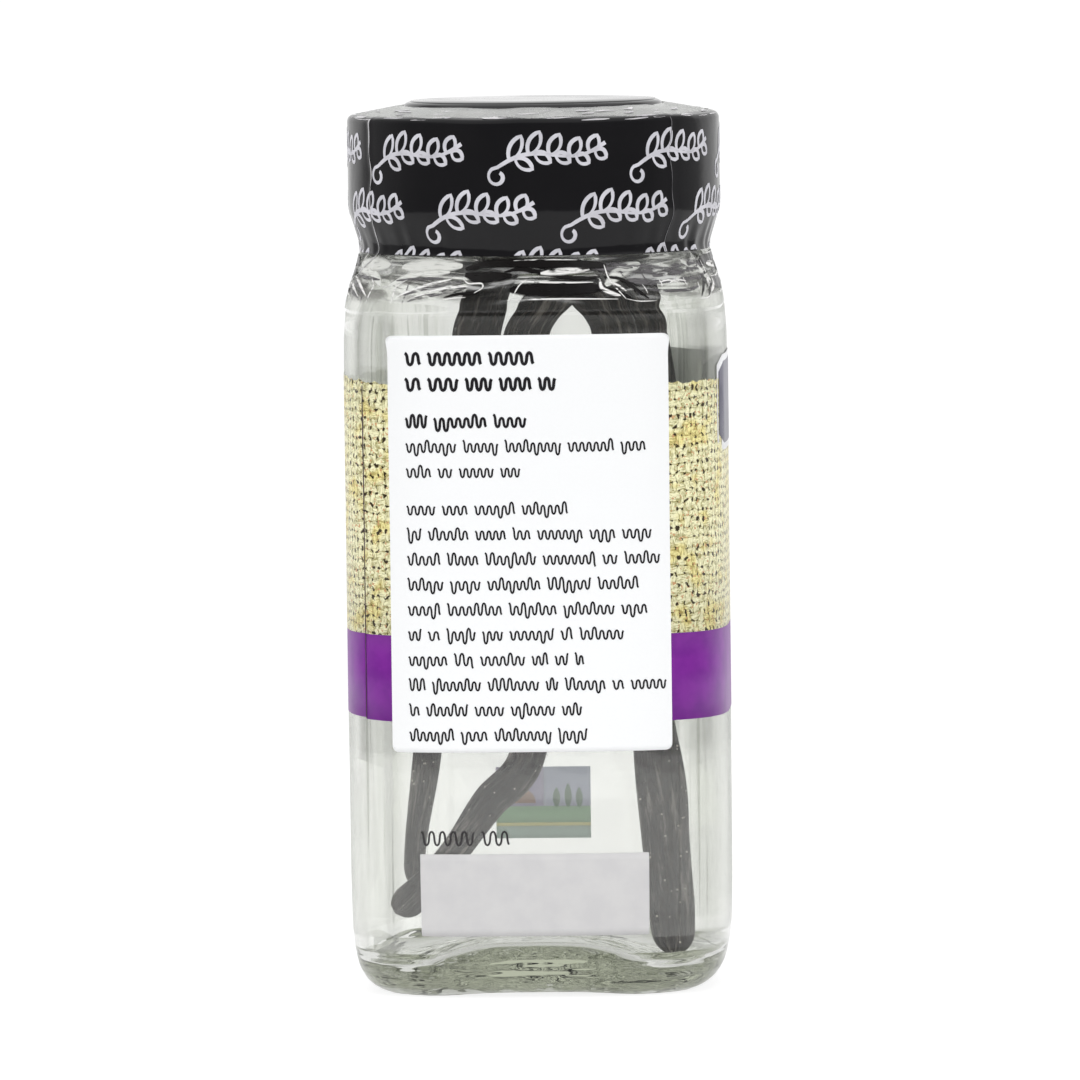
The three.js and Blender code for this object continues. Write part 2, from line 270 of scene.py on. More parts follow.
LUMPS_OUTSIDE, LUMPS_INSIDE = 3.0, 8.0  # at which depth of the noise each side's lumps are read
LUMPY_HALF = 16.2
HEEL_TOP = 5.0


def smooth_rows(rows, per_span):
    """Rows along a rounded curve through the given rows, `per_span` to each stretch."""
    given = np.array([rows[0], *rows, rows[-1]], float)
    made = []
    for k in range(1, len(given) - 2):
        before, start, end, after = given[k - 1:k + 3]
        for step in range(per_span):
            t = step / per_span
            reach = np.linalg.norm(end[:2] - start[:2])
            pull_in = (end - before) * reach / max(np.linalg.norm(end[:2] - before[:2]), 1e-6)
            pull_out = (after - start) * reach / max(np.linalg.norm(after[:2] - start[:2]), 1e-6)
            made.append((2 * t**3 - 3 * t**2 + 1) * start + (t**3 - 2 * t**2 + t) * pull_in
                        + (3 * t**2 - 2 * t**3) * end + (t**3 - t**2) * pull_out)
    return np.array([*made, given[-1]])


def crowded_angles(count):
    """Angles round the jar from +X, closer together at the corners."""
    turn = np.arange(count) / count * 2 * np.pi
    return turn + CORNER_CROWDING / 4 * np.sin(4 * turn)


def eased(t):
    return t**2 * (3 - 2 * t)


def mid_face(angles, at_corner):
    """1 in the middle of each face, falling smoothly to 0 at the corners, sooner with `at_corner`."""
    return eased(np.clip((np.abs(np.cos(2 * angles)) - at_corner) / (1 - at_corner), 0, 1))


def section(half, power, angles, offset=0.0):
    """Points (x, y) of a level's outline at the given angles, moved outwards by `offset`."""
    cos, sin = np.cos(angles), np.sin(angles)
    reach = half / (np.abs(cos) ** power + np.abs(sin) ** power) ** (1 / power)
    x, y = reach * cos, reach * sin
    slope_x = np.sign(x) * np.abs(x / half) ** (power - 1)
    slope_y = np.sign(y) * np.abs(y / half) ** (power - 1)
    length = np.hypot(slope_x, slope_y)
    return x + offset * slope_x / length, y + offset * slope_y / length


def lattice_faces(rows, columns, wrap_rows=False, wrap_columns=True):
    """Quads between rows of points. Wound for rows that rise and columns that turn leftwards."""
    row = np.arange(rows if wrap_rows else rows - 1)[:, None]
    column = np.arange(columns if wrap_columns else columns - 1)[None, :]
    next_row, next_column = (row + 1) % rows, (column + 1) % columns
    corners = [row * columns + column, row * columns + next_column,
               next_row * columns + next_column, next_row * columns + column]
    return np.stack(np.broadcast_arrays(*corners), axis=-1).reshape(-1, 4).tolist()


def closed_ends(rows, columns):
    """Faces over the first and the last row of points."""
    last = (rows - 1) * columns
    return [list(range(columns))[::-1], list(range(last, last + columns))]


def map_surface(mesh, along_up):
    """Writes each point's (along, up) in millimetres to the mesh's UV map."""
    layer = mesh.uv_layers.get("surface_mm") or mesh.uv_layers.new(name="surface_mm")
    corner_points = np.empty(len(mesh.loops), int)
    mesh.loops.foreach_get("vertex_index", corner_points)
    layer.data.foreach_set("uv", np.asarray(along_up, np.float32)[corner_points].ravel())


def piece(name, points_mm, faces, looks, uv_mm=None, look_of_face=None):
    """Makes a mesh object. `uv_mm` is a pair (along, up) in millimetres for each point."""
    mesh = bpy.data.meshes.new(name)
    mesh.from_pydata((np.asarray(points_mm) * MM).tolist(), [], faces)
    for look in looks:
        mesh.materials.append(look)
    if uv_mm is not None:
        map_surface(mesh, uv_mm)
    if look_of_face is not None:
        mesh.polygons.foreach_set("material_index", look_of_face)
    mesh.polygons.foreach_set("use_smooth", [True] * len(mesh.polygons))
    mesh.validate()
    return shown(name, mesh)


def stands_for(made, node):
    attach(made, "root")
    if node:
        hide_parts(node)


def cloud(tree, place, scale, detail, stretch=None, turn=0.0, **others):
    """Noise from 0 to 1, read at a place that may be stretched, and turned by some degrees, first."""
    if stretch:
        moves = {"Rotation": (0, 0, math.radians(turn)), "Scale": (*stretch, 1.0)[:3]}
        place = put(tree, "ShaderNodeMapping", {"Vector": place, **moves}).outputs[0]
    read = {"Vector": place, "Scale": scale, "Detail": detail, **others}
    return put(tree, "ShaderNodeTexNoise", read).outputs[0]


def glass_look(name, grain, relief, roughness, flatter=1.0):
    """Clear glass that takes a grey green in thick places and lets the lamps through. Its ripples are
    `flatter` times as long as they are high."""
    look, tree = material(name)
    ripple = cloud(tree, in_object(tree), grain, 1.0, (1.0, 1.0, flatter))
    body = coat(tree, (0.992, 0.996, 0.992, 1), roughness, {"IOR": 1.5, "Transmission Weight": 1.0},
                (ripple, relief, 0.001))
    shadow = put(tree, "ShaderNodeLightPath").outputs["Is Shadow Ray"]
    clear = put(tree, "ShaderNodeBsdfTransparent", {"Color": (0.93, 0.94, 0.93, 1)})
    tint = put(tree, "ShaderNodeVolumeAbsorption", {"Color": (0.47, 0.51, 0.33, 1), "Density": 34.0})
    return finished(look, mixed(tree, shadow, body, clear), tint)


foot_rows = smooth_rows(FOOT_ROWS, 12)
outer_rows = smooth_rows(OUTER_ROWS, 8)
outside_rows = np.concatenate([foot_rows, outer_rows, smooth_rows(NECK_ROWS, 3)])
inside_rows = np.concatenate([smooth_rows(INNER_ROWS, 8), smooth_rows(FLOOR_ROWS, 6)])
jar_rows = np.concatenate([outside_rows, inside_rows])
jar_angles = crowded_angles(JAR_COLUMNS)
foot_arch = mid_face(jar_angles, 0.3)
floor_arch = mid_face(jar_angles, 0.05) * np.where(np.cos(2 * jar_angles) > 0, SIDE_ARCH_PART, 1.0)
jar_points = []
for level, (z, half, power, rise) in enumerate(jar_rows):
    x, y = section(half, power, jar_angles)
    arch, side = (foot_arch, LUMPS_OUTSIDE) if level < len(outside_rows) else (floor_arch, LUMPS_INSIDE)
    up = z + rise * arch
    if z < HEEL_TOP and half < LUMPY_HALF:  # the pressed glass of the base is lumpy on both sides
        for often, height in LUMPS:
            lumps = [noise.noise(Vector((a * often, b * often, side))) for a, b in zip(x, y)]
            up = up + height * np.array(lumps) * min(1.0, (LUMPY_HALF - half) / 2.0)
    jar_points.append(np.stack([x, y, up], axis=-1))
jar_points = np.concatenate(jar_points)
jar_faces = lattice_faces(len(jar_rows), JAR_COLUMNS) + closed_ends(len(jar_rows), JAR_COLUMNS)
foot_end = len(foot_rows) + 2
heel_end = len(foot_rows) + int(np.searchsorted(outer_rows[:, 0], HEEL_TOP))
look_of_face = np.zeros(len(jar_faces), int)
look_of_face[:foot_end * JAR_COLUMNS] = 1
look_of_face[foot_end * JAR_COLUMNS:heel_end * JAR_COLUMNS] = 2
jar = piece("glass_jar", jar_points, jar_faces, [
    glass_look("clear_glass", 90.0, 0.02, 0.0), glass_look("pressed_glass", 430.0, 0.7, 0.12),
    glass_look("heel_glass", 70.0, 0.35, 0.02, 12.0)], look_of_face=look_of_face)
stands_for(jar, "jar")

# ---- Vanilla pods -------------------------------------------------------------------------------
# Two cured pods, each folded over once with the fold up under the cap. They are flat, leathery and
# wrinkled lengthwise, almost black, with an oily shine on the ridges.
# Each route runs from one end over the fold to the other: x, y, z of the middle line, half width
# seen from the front, half thickness.
OUTER_POD = [
    (-17.4, 4.0, 11.6, 1.5, 1.3), (-17.1, 4.6, 17.0, 1.6, 1.4), (-15.4, 5.0, 27.0, 1.9, 1.4),
    (-13.2, 5.0, 44.0, 2.2, 1.5), (-10.7, 4.4, 62.0, 2.7, 1.5), (-7.7, 3.5, 77.0, 3.0, 1.4),
    (-5.4, 3.2, 83.6, 2.5, 1.4), (-2.6, 3.0, 90.2, 2.2, 1.4), (2.2, 3.2, 93.6, 2.1, 1.4),
    (7.2, 3.6, 90.6, 2.2, 1.4), (10.8, 4.4, 84.6, 2.3, 1.4), (14.7, 5.2, 77.0, 2.5, 1.5),
    (16.3, 5.6, 67.0, 2.5, 1.5), (16.2, 6.2, 52.0, 2.2, 1.4), (15.2, 6.6, 37.0, 1.4, 1.1),
]
INNER_POD = [
    (-17.3, -10.5, 9.4, 1.8, 1.3), (-11.2, -7.4, 15.6, 1.8, 1.4), (-6.3, -6.2, 21.9, 2.0, 1.4),
    (-1.3, -5.5, 27.8, 2.15, 1.5), (0.6, -4.0, 44.0, 2.3, 1.5), (-0.9, -3.0, 60.0, 2.5, 1.5),
    (-1.6, -2.5, 74.0, 2.6, 1.4), (0.8, -2.6, 80.4, 2.4, 1.4), (4.8, -2.8, 83.1, 2.3, 1.4),
    (8.8, -3.0, 80.4, 2.5, 1.4), (10.8, -3.6, 74.0, 2.7, 1.5), (12.8, -5.0, 54.0, 2.7, 1.6),
    (14.0, -6.6, 34.0, 2.6, 1.6), (15.1, -7.4, 22.2, 2.75, 1.6), (15.6, -8.0, 14.0, 2.55, 1.6),
    (15.9, -8.4, 8.4, 2.25, 1.5), (16.2, -8.9, 4.2, 1.9, 1.4),
]
POD_SIDES = 56
POD_STEPS = 420
RIDGE_WAVES = range(3, 13)  # the waves round the pod that its ridges are the sum of
RIDGE_SUM = 2.2  # what that sum is divided by
RIDGE_DEPTH = 0.13  # part of the half width
TIP_LENGTH = 2.4
MAP_RADIUS = 2.2  # what the way round a pod is measured on


def on_surface(tree):
    return put(tree, "ShaderNodeUVMap", uv_map="surface_mm").outputs[0]


def pod_look():
    """Near black brown skin with fine lengthwise creases, read from the pod's own UV map. It is darker down
    in the creases, lighter on the ridges, and has pale streaks of painted highlight.
    """
    look, tree = material("vanilla_skin")
    creases = cloud(tree, on_surface(tree), 1.6, 5.0, (2.6, 0.22), Roughness=0.6)
    patches = cloud(tree, in_object(tree), 160.0, 3.0)
    painted_highlight = cloud(tree, on_surface(tree), 1.0, 4.0, (1.1, 0.13), Roughness=0.7)
    colour = blend(tree, fade(tree, creases, 0.35, 0.68), rgb(8, 6, 5), rgb(56, 43, 36))
    colour = blend(tree, fade(tree, patches, 0.5, 0.75), colour, rgb(26, 19, 16))
    # Pale streaks of painted highlight on the dark skin.
    colour = blend(tree, fade(tree, painted_highlight, 0.5, 0.7), colour, rgb(150, 143, 137))
    return finished(look, coat(tree, colour, fade(tree, patches, 0.3, 0.7, 0.24, 0.5),
                               {"Specular IOR Level": 0.45}, (creases, 1.0, 0.0005)))


def route_at(route, parts):
    """Points of a Catmull-Rom curve through the route, with its sizes interpolated alike."""
    given = np.array(route, float)
    given = np.vstack([2 * given[0] - given[1], given, 2 * given[-1] - given[-2]])
    along = parts * (len(route) - 1)
    span = np.clip(along.astype(int), 0, len(route) - 2)
    t = (along - span)[:, None]
    p0, p1, p2, p3 = (given[span + k] for k in range(4))
    return 0.5 * (2 * p1 + (p2 - p0) * t + (2 * p0 - 5 * p1 + 4 * p2 - p3) * t**2
                  + (3 * p1 - 3 * p2 + p3 - p0) * t**3)


def pod(name, route, look, seed):
    rng = np.random.default_rng(seed)
    parts = np.linspace(0, 1, POD_STEPS)
    line = route_at(route, parts)
    centre = line[:, :3]
    along = np.gradient(centre, axis=0)
    along /= np.linalg.norm(along, axis=1)[:, None]
    travelled = np.cumsum(np.linalg.norm(np.diff(centre, axis=0, prepend=centre[:1]), axis=1))
    deep = np.array([0.0, 1.0, 0.0]) - along * along[:, 1:2]
    deep /= np.linalg.norm(deep, axis=1)[:, None]
    across = np.cross(deep, along)
    from_end = np.minimum(travelled, travelled[-1] - travelled)
    closing = np.sqrt(np.clip(1 - np.clip(1 - from_end / TIP_LENGTH, 0, 1) ** 2, 0, 1))
    width = line[:, 3] * closing * (1 + 0.04 * np.sin(travelled / 2.9 + seed))
    depth = line[:, 4] * closing * (1 + 0.09 * np.sin(travelled / 5.7 + 2 * seed))
    turn = np.arange(POD_SIDES) / POD_SIDES * 2 * np.pi
    ridges = np.zeros((POD_STEPS, POD_SIDES))
    for waves in RIDGE_WAVES:
        phase = rng.uniform(0, 2 * np.pi)
        phase = phase + rng.uniform(0.5, 1.6) * np.sin(travelled / rng.uniform(9, 26) + rng.uniform(0, 6))
        strength = rng.uniform(0.4, 1.0) * (0.7 + 0.3 * np.sin(travelled / rng.uniform(3, 9)))
        ridges += strength[:, None] * np.cos(waves * turn[None, :] + phase[:, None])
    ridges = -np.abs(ridges) / RIDGE_SUM
    swell = 1 + RIDGE_DEPTH * np.clip(ridges - ridges.mean(), -1.2, 1)
    points = (centre[:, None, :]
              + across[:, None, :] * (width[:, None] * np.cos(turn) * swell)[..., None]
              + deep[:, None, :] * (depth[:, None] * np.sin(turn) * swell)[..., None])
    uv = np.stack(np.broadcast_arrays(turn[None, :] * MAP_RADIUS, travelled[:, None]), axis=-1)
    return piece(name, points.reshape(-1, 3), lattice_faces(POD_STEPS, POD_SIDES), [look], uv.reshape(-1, 2))


def grown(name, mesh, tree, values):
    """Runs a Geometry Nodes tree on a mesh and returns the result as a plain object."""
    seedling = shown(name + "_points", mesh)
    modifier = seedling.modifiers.new(name, "NODES")
    modifier.node_group = tree
    for item in tree.interface.items_tree:  # a modifier takes its inputs by their sockets' identifiers
        if item.in_out == "INPUT" and item.name in values:
            modifier[item.identifier] = values[item.name]
    bpy.context.view_layer.update()
    result = bpy.data.meshes.new_from_object(seedling.evaluated_get(bpy.context.evaluated_depsgraph_get()))
    result.name = name
    bpy.data.objects.remove(seedling)
    return shown(name, result)


def start_tree(name, *inputs):
    """A Geometry Nodes tree that takes a geometry and these named inputs, and what they give."""
    tree = bpy.data.node_groups.new(name, "GeometryNodeTree")
    for label, kind in (("Geometry", "Geometry"), *inputs):
        tree.interface.new_socket(label, in_out="INPUT", socket_type="NodeSocket" + kind)
    tree.interface.new_socket("Geometry", in_out="OUTPUT", socket_type="NodeSocketGeometry")
    return tree, put(tree, "NodeGroupInput").outputs


def end_tree(tree, shapes, look):
    """Makes the shapes one mesh of one material, which is what the tree gives back."""
    joined = put(tree, "GeometryNodeRealizeInstances", {0: shapes.outputs[0]})
    dressed = put(tree, "GeometryNodeSetMaterial", {"Geometry": joined.outputs[0], "Material": look})
    put(tree, "NodeGroupOutput", {0: dressed.outputs[0]})
    return tree


def grain_tree():
    """Grains scattered over a surface below a height."""
    tree, given = start_tree("scattered_grains", ("Per Square Metre", "Float"), ("Below", "Float"),
                             ("Radius", "Float"), ("Seed", "Int"), ("Look", "Material"))
    place = put(tree, "GeometryNodeInputPosition").outputs[0]
    height = put(tree, "ShaderNodeSeparateXYZ", {0: place}).outputs[2]
    spots = put(tree, "GeometryNodeDistributePointsOnFaces", {
        "Mesh": given["Geometry"], "Selection": maths(tree, "LESS_THAN", height, given["Below"]),
        "Density": given["Per Square Metre"], "Seed": given["Seed"]})
    grain = put(tree, "GeometryNodeMeshIcoSphere", {"Radius": given["Radius"], "Subdivisions": 1})
    size = put(tree, "FunctionNodeRandomValue", {2: 0.4, 3: 1.3, "Seed": 5})
    grains = put(tree, "GeometryNodeInstanceOnPoints", {
        "Points": spots.outputs[0], "Instance": grain.outputs[0], "Scale": size.outputs[1]})
    return end_tree(tree, grains, given["Look"])


def grain_look():
    """Pale crystals and crumbs that cured pods shed."""
    look, tree = material("pale_grains")
    speckle = cloud(tree, in_object(tree), 900.0, 1.0)
    return finished(look, coat(tree, blend(tree, speckle, rgb(170, 160, 146), rgb(244, 240, 230)), 0.5))


skin_look = pod_look()
grains = {"Per Square Metre": 1.8e5, "Below": 0.032, "Radius": 0.00013, "Look": grain_look()}
for name, route, seed in (("pod_outer", OUTER_POD, 3), ("pod_inner", INNER_POD, 8)):
    made = pod("vanilla_" + name, route, skin_look, seed)
    stands_for(made, name)
    shed = grown("grains_on_" + name, made.data.copy(), grain_tree(), {**grains, "Seed": seed})
    stands_for(shed, None)

# ---- Screw cap ----------------------------------------------------------------------------------
# Black moulded plastic with a satin grain. Only the raised disc on top stands clear of the film, and
# the shallow cone round it shows through the film.
CAP_COLUMNS = 240
CAP_OUTLINE = [  # radius, height, from the middle of the ceiling round the skirt to the middle of the top
    (0.05, 101.3), (9.0, 101.3), (18.2, 101.3), (18.4, 101.1), (18.4, 92.8), (18.6, 92.45), (18.9, 92.3),
    (21.25, 92.3), (21.6, 92.45), (21.75, 92.8), (21.75, 102.7), (21.68, 102.98), (21.4, 103.2),
    (21.0, 103.32), (15.8, 104.3), (15.4, 104.42), (15.3, 104.5), (15.27, 104.68), (14.95, 104.9),
    (14.72, 104.98), (14.66, 104.96), (14.6, 104.96), (14.56, 105.07), (14.5, 105.1), (7.0, 105.1),
    (0.05, 105.1),
]


def plastic_look():
    look, tree = material("black_satin_plastic")
    soft = cloud(tree, in_object(tree), 120.0, 3.0)
    colour = blend(tree, soft, rgb(26, 26, 28), rgb(38, 37, 38))
    return finished(look, coat(tree, colour, fade(tree, soft, 0.3, 0.7, 0.05, 0.1),
                               relief=(cloud(tree, in_object(tree), 2600.0, 2.0), 0.05, 0.0001)))


def turned(name, outline, columns, look):
    """A closed body of revolution whose outline runs from near the axis round and back to it."""
    angles = np.arange(columns) / columns * 2 * np.pi
    rings = [np.stack([r * np.cos(angles), r * np.sin(angles), np.full(columns, z)], axis=-1)
             for r, z in outline]
    faces = lattice_faces(len(outline), columns) + closed_ends(len(outline), columns)
    return piece(name, np.concatenate(rings), faces, [look])


stands_for(turned("screw_cap", CAP_OUTLINE, CAP_COLUMNS, plastic_look()), "cap")

# ---- Wrap label ---------------------------------------------------------------------------------
# One clear, slightly milky film label wound once round the glass, a little askew, so that its ends
# meet with a step near the left front corner. On it are printed a band of burlap, a purple band, a
# dark banner with a white line round it, and a small colour panel on the far side.
WALL_HALF = 22.45
WALL_POWER = 3.5
FRONT = -math.pi / 2  # the angle of the recipe label's face
LABEL_COLUMNS = 400
WRAP_BOTTOM, WRAP_TOP = 7.0, 80.4
WRAP_GAP, WRAP_THICK = 0.05, 0.05
PRINT_GAP, PRINT_THICK = 0.12, 0.02
SEAM = -21.3  # where the label's ends meet, along the wall from the front's middle
PURPLE_BOTTOM, BURLAP_BOTTOM, BURLAP_TOP = 32.4, 42.75, 72.15
BANNER_BOTTOM, BANNER_TOP = 63.7, 75.0
BANNER_LEFT, BANNER_RIGHT = 26.3, 74.0
BANNER_CHAMFER = (3.4, 1.15)
BANNER_LINE = 0.8
BANNER_LAP = 4.0
BANNER_COLUMNS = 160
THREAD_PITCH = 1.1


def wall_angles_and_lengths():
    """Angles round the glass from the front face's middle, and the way along the wall to each."""
    angles = FRONT + np.linspace(-np.pi, np.pi, 4001)
    x, y = section(WALL_HALF, WALL_POWER, angles)
    lengths = np.concatenate([[0], np.cumsum(np.hypot(np.diff(x), np.diff(y)))])
    return angles, lengths - lengths[-1] / 2


wall_angles, wall_lengths = wall_angles_and_lengths()
AROUND = wall_lengths[-1] - wall_lengths[0]


def on_wall(along, up, out):
    """Points on the glass: `along` it from the front's middle to the right, `up`, and `out` of it."""
    along = (np.asarray(along, float) + AROUND / 2) % AROUND - AROUND / 2
    angle = np.interp(along, wall_lengths, wall_angles)
    half, power = (np.interp(up, outer_rows[:, 0], outer_rows[:, k]) for k in (1, 2))
    x, y = section(half, power, angle, out)
    return np.stack([x, y, np.broadcast_to(up, x.shape)], axis=-1)


def sheet_on_wall(name, along, bottom, top, gap, thick, look, rows=2, ring=False, curl=None, back=None):
    """A thin closed sheet that lies on the wall. `bottom` and `top` may differ from column to column.
    `back` is the look of the side that faces the glass, where it isn't the same."""
    along = np.asarray(along, float)
    part = np.linspace(0, 1, rows)[:, None]
    up = np.asarray(bottom) + (np.asarray(top) - np.asarray(bottom)) * part
    up = np.broadcast_to(up, (rows, len(along)))
    across = np.broadcast_to(along, up.shape)
    lift = curl(across, up) if curl else np.zeros(up.shape)
    outside = on_wall(across, up, gap + thick + lift)
    inside = on_wall(across, up, gap + lift)[::-1]
    points = np.concatenate([outside, inside]).reshape(-1, 3)
    uv = np.stack([across, up], axis=-1)
    uv = np.concatenate([uv, uv[::-1]]).reshape(-1, 2)
    columns = len(along)
    faces = lattice_faces(2 * rows, columns, wrap_rows=True, wrap_columns=ring)
    if not ring:
        for row in range(rows - 1):
            outer, inner = row * columns, (2 * rows - 1 - row) * columns
            left_end = [outer, outer + columns, inner - columns, inner]
            faces += [left_end, [left_end[k] + columns - 1 for k in (0, 3, 2, 1)]]
    if back is None:
        return piece(name, points, faces, [look], uv)
    row_of_face = np.arange(len(faces)) // (columns if ring else columns - 1)
    at_back = (row_of_face >= rows) & (row_of_face < 2 * rows - 1)
    return piece(name, points, faces, [look, back], uv, at_back.astype(int))


def rounded_ends(left, right, bottom, top, radius, columns):
    """Columns of a rectangle with round corners: their places, and the bottom and top of each."""
    corner = left + radius * (1 - np.cos(np.linspace(0, np.pi / 2, 9)))
    along = np.concatenate([corner, np.linspace(left + radius, right - radius, columns)[1:-1],
                            (left + right - corner)[::-1]])
    from_end = np.minimum(np.minimum(along - left, right - along), radius)
    inset = radius - np.sqrt(np.maximum(radius**2 - (radius - from_end) ** 2, 0))
    return along, bottom + inset, top - inset


def film_look(name, haze_low, haze_high, crinkled=False):
    """Clear film: see-through and milky, more so low on the jar, with a gloss that grows to the edges and
    soft upright streaks of painted shade by the jar's corners. Where it is crinkled it has aslant streaks of
    painted shade and painted sheen."""
    look, tree = material(name)
    place, surface = in_object(tree), on_surface(tree)
    sideways, backwards, rise = put(tree, "ShaderNodeSeparateXYZ", {0: place}).outputs
    ripple = cloud(tree, place, 260.0, 2.0)
    milkiness = times(tree, fade(tree, rise, 0.015, 0.078, haze_low, haze_high),
                      fade(tree, ripple, 0.2, 0.8, 0.9, 1.1))
    upright = cloud(tree, surface, 1.0, 3.0, (0.75, 0.035), Distortion=0.3)
    lines = cloud(tree, surface, 1.0, 1.0, (1.3, 0.02))
    cornering = maths(tree, "ABSOLUTE", times(tree, sideways, backwards))
    off_foot = fade(tree, rise, 0.007, 0.012)
    # Painted shade: grey upright streaks and thin lines in the film by the jar's corners.
    streaks = times(tree, fade(tree, upright, 0.46, 0.66), fade(tree, cornering, 2.8e-4, 3.3e-4), off_foot,
                    fade(tree, rise, 0.05, 0.076, 0.35, 1.0))
    clearness = blend(tree, streaks, (0.99, 0.99, 0.987, 1), (0.92, 0.925, 0.91, 1))
    thin_lines = times(tree, fade(tree, lines, 0.58, 0.66), fade(tree, cornering, 3.1e-4, 3.3e-4), off_foot)
    clearness = blend(tree, thin_lines, clearness, (0.85, 0.855, 0.84, 1))
    if crinkled:
        # Painted shade and sheen: dark and milky streaks aslant where the film is crumpled.
        creases = cloud(tree, surface, 1.0, 2.0, (0.13, 0.7), -22, Roughness=0.5, Distortion=0.8)
        crumpled = times(tree, fade(tree, rise, 0.0815, 0.083), fade(tree, rise, 0.084, 0.0865, 1, 0.3))
        shade = times(tree, fade(tree, creases, 0.4, 0.5, 0.55, 0.0), crumpled)
        clearness = blend(tree, shade, clearness, (0.42, 0.41, 0.41, 1))
        sheen = times(tree, fade(tree, creases, 0.52, 0.66, 0.0, 0.5), crumpled)
        milkiness = maths(tree, "MAXIMUM", milkiness, sheen)
    relief = bumps(tree, ripple, 0.12, 0.0003)
    slant = put(tree, "ShaderNodeLayerWeight", {"Normal": relief}).outputs["Facing"]
    grazing = times(tree, maths(tree, "POWER", slant, 4.0), off_foot)
    through = put(tree, "ShaderNodeBsdfTransparent", {
        "Color": blend(tree, grazing, clearness, (0.86, 0.865, 0.85, 1))})
    white = {"Color": (0.95, 0.95, 0.95, 1)}
    milky = mixed(tree, 0.5, put(tree, "ShaderNodeBsdfDiffuse", white),
                  put(tree, "ShaderNodeBsdfTranslucent", white))
    shine = put(tree, "ShaderNodeBsdfGlossy", {
        "Color": (0.86, 0.865, 0.855, 1), "Roughness": 0.06, "Normal": relief})
    mirror = maths(tree, "MULTIPLY_ADD", maths(tree, "POWER", slant, 6.0), 0.35, 0.02)
    if crinkled:  # the fold over the cap's cone lies almost along the sight and mirrors more
        on_cone = fade(tree, rise, 0.1031, 0.1036, 0.0, 0.6)
        mirror = maths(tree, "MAXIMUM", mirror, times(tree, maths(tree, "POWER", slant, 2.0), on_cone))
    return finished(look, mixed(tree, mirror, mixed(tree, milkiness, through, milky), shine))


def print_skin(tree, colour, roughness=0.35):
    return coat(tree, colour, roughness, {"Specular IOR Level": 0.2})


def burlap_look():
    """Printed burlap: uneven plain weave with streaky threads, scattered dark gaps and brown flecks."""
    look, tree = material("burlap_print")
    place = on_surface(tree)
    wander = put(tree, "ShaderNodeTexNoise", {
        "Vector": place, "Scale": 0.55, "Detail": 4.0, "Roughness": 0.6}).outputs["Color"]
    shift = put(tree, "ShaderNodeVectorMath", {0: wander, 1: (0.5, 0.5, 0.5)}, operation="SUBTRACT")
    shifted = put(tree, "ShaderNodeVectorMath", {0: shift.outputs[0], 1: (2.6, 2.2, 0.0), 2: place},
                  operation="MULTIPLY_ADD")
    ways = [maths(tree, "DIVIDE", way, THREAD_PITCH)
            for way in put(tree, "ShaderNodeSeparateXYZ", {0: shifted.outputs[0]}).outputs[:2]]
    warp, weft = [maths(tree, "ABSOLUTE", maths(tree, "SINE", times(tree, way, math.pi))) for way in ways]
    cell = maths(tree, "ADD", *(maths(tree, "FLOOR", way) for way in ways))
    warp_on_top = maths(tree, "GREATER_THAN", maths(tree, "MODULO", maths(tree, "ABSOLUTE", cell), 2.0), 0.5)
    fibre_up, fibre_across = [
        cloud(tree, place, 1.3, 4.0, stretch, Roughness=0.65) for stretch in ((5.0, 1.1), (1.1, 5.0))]
    over = put(tree, "ShaderNodeMix", {0: warp_on_top, 2: weft, 3: warp}).outputs[0]
    fibres = put(tree, "ShaderNodeMix", {0: warp_on_top, 2: fibre_across, 3: fibre_up}).outputs[0]
    uneven = cloud(tree, place, 0.9, 3.0, Roughness=0.7)
    tone = maths(tree, "ADD", fibres, times(tree, over, 0.16))
    lit = fade(tree, maths(tree, "MULTIPLY_ADD", uneven, 0.45, tone), 0.64, 0.96)
    thread = blend(tree, lit, rgb(156, 148, 90), rgb(252, 249, 208))
    golden = blend(tree, lit, rgb(162, 142, 72), rgb(248, 238, 168))
    thread = blend(tree, fade(tree, cloud(tree, place, 0.28, 2.0), 0.5, 0.66), thread, golden)
    flecks = fade(tree, cloud(tree, place, 1.9, 2.0), 0.61, 0.67)
    thread = blend(tree, flecks, thread, rgb(206, 156, 112))
    corner = times(tree, maths(tree, "SUBTRACT", 1.0, warp), maths(tree, "SUBTRACT", 1.0, weft))
    gap = fade(tree, maths(tree, "MULTIPLY_ADD", uneven, 2.3, corner), 1.5, 1.7)
    return finished(look, print_skin(tree, blend(tree, gap, thread, rgb(54, 44, 26))))


def ink_look(name, colour, darker, roughness=0.35):
    """A flat printed ink with the faint cloudiness of a laminated film."""
    look, tree = material(name)
    part = fade(tree, cloud(tree, on_surface(tree), 0.35, 4.0), 0.3, 0.7)
    return finished(look, print_skin(tree, blend(tree, part, rgb(*darker), rgb(*colour)), roughness))


def backlit_ink(name, colour):
    """Thin ink on clear film, which also glows a little with the light behind it."""
    look, tree = material(name)
    darker = [0.93 * value for value in colour]
    toned = blend(tree, cloud(tree, on_surface(tree), 2.2, 3.0), rgb(*darker), rgb(*colour))
    glow = put(tree, "ShaderNodeBsdfTranslucent", {"Color": toned})
    return finished(look, mixed(tree, 0.72, print_skin(tree, toned), glow))


def back_look():
    """The white layer under a print, seen through the glass from inside. It glows a little: painted light
    for the light that comes through the label from behind.
    """
    look, tree = material("white_label_back")
    toned = blend(tree, cloud(tree, on_surface(tree), 0.3, 3.0), rgb(206, 206, 200), rgb(232, 232, 226))
    # The emission is painted light, a glow for the light behind the label.
    return finished(look, coat(tree, toned, 0.6, {
        "Emission Color": (0.94, 0.95, 0.92, 1), "Emission Strength": 0.5}))


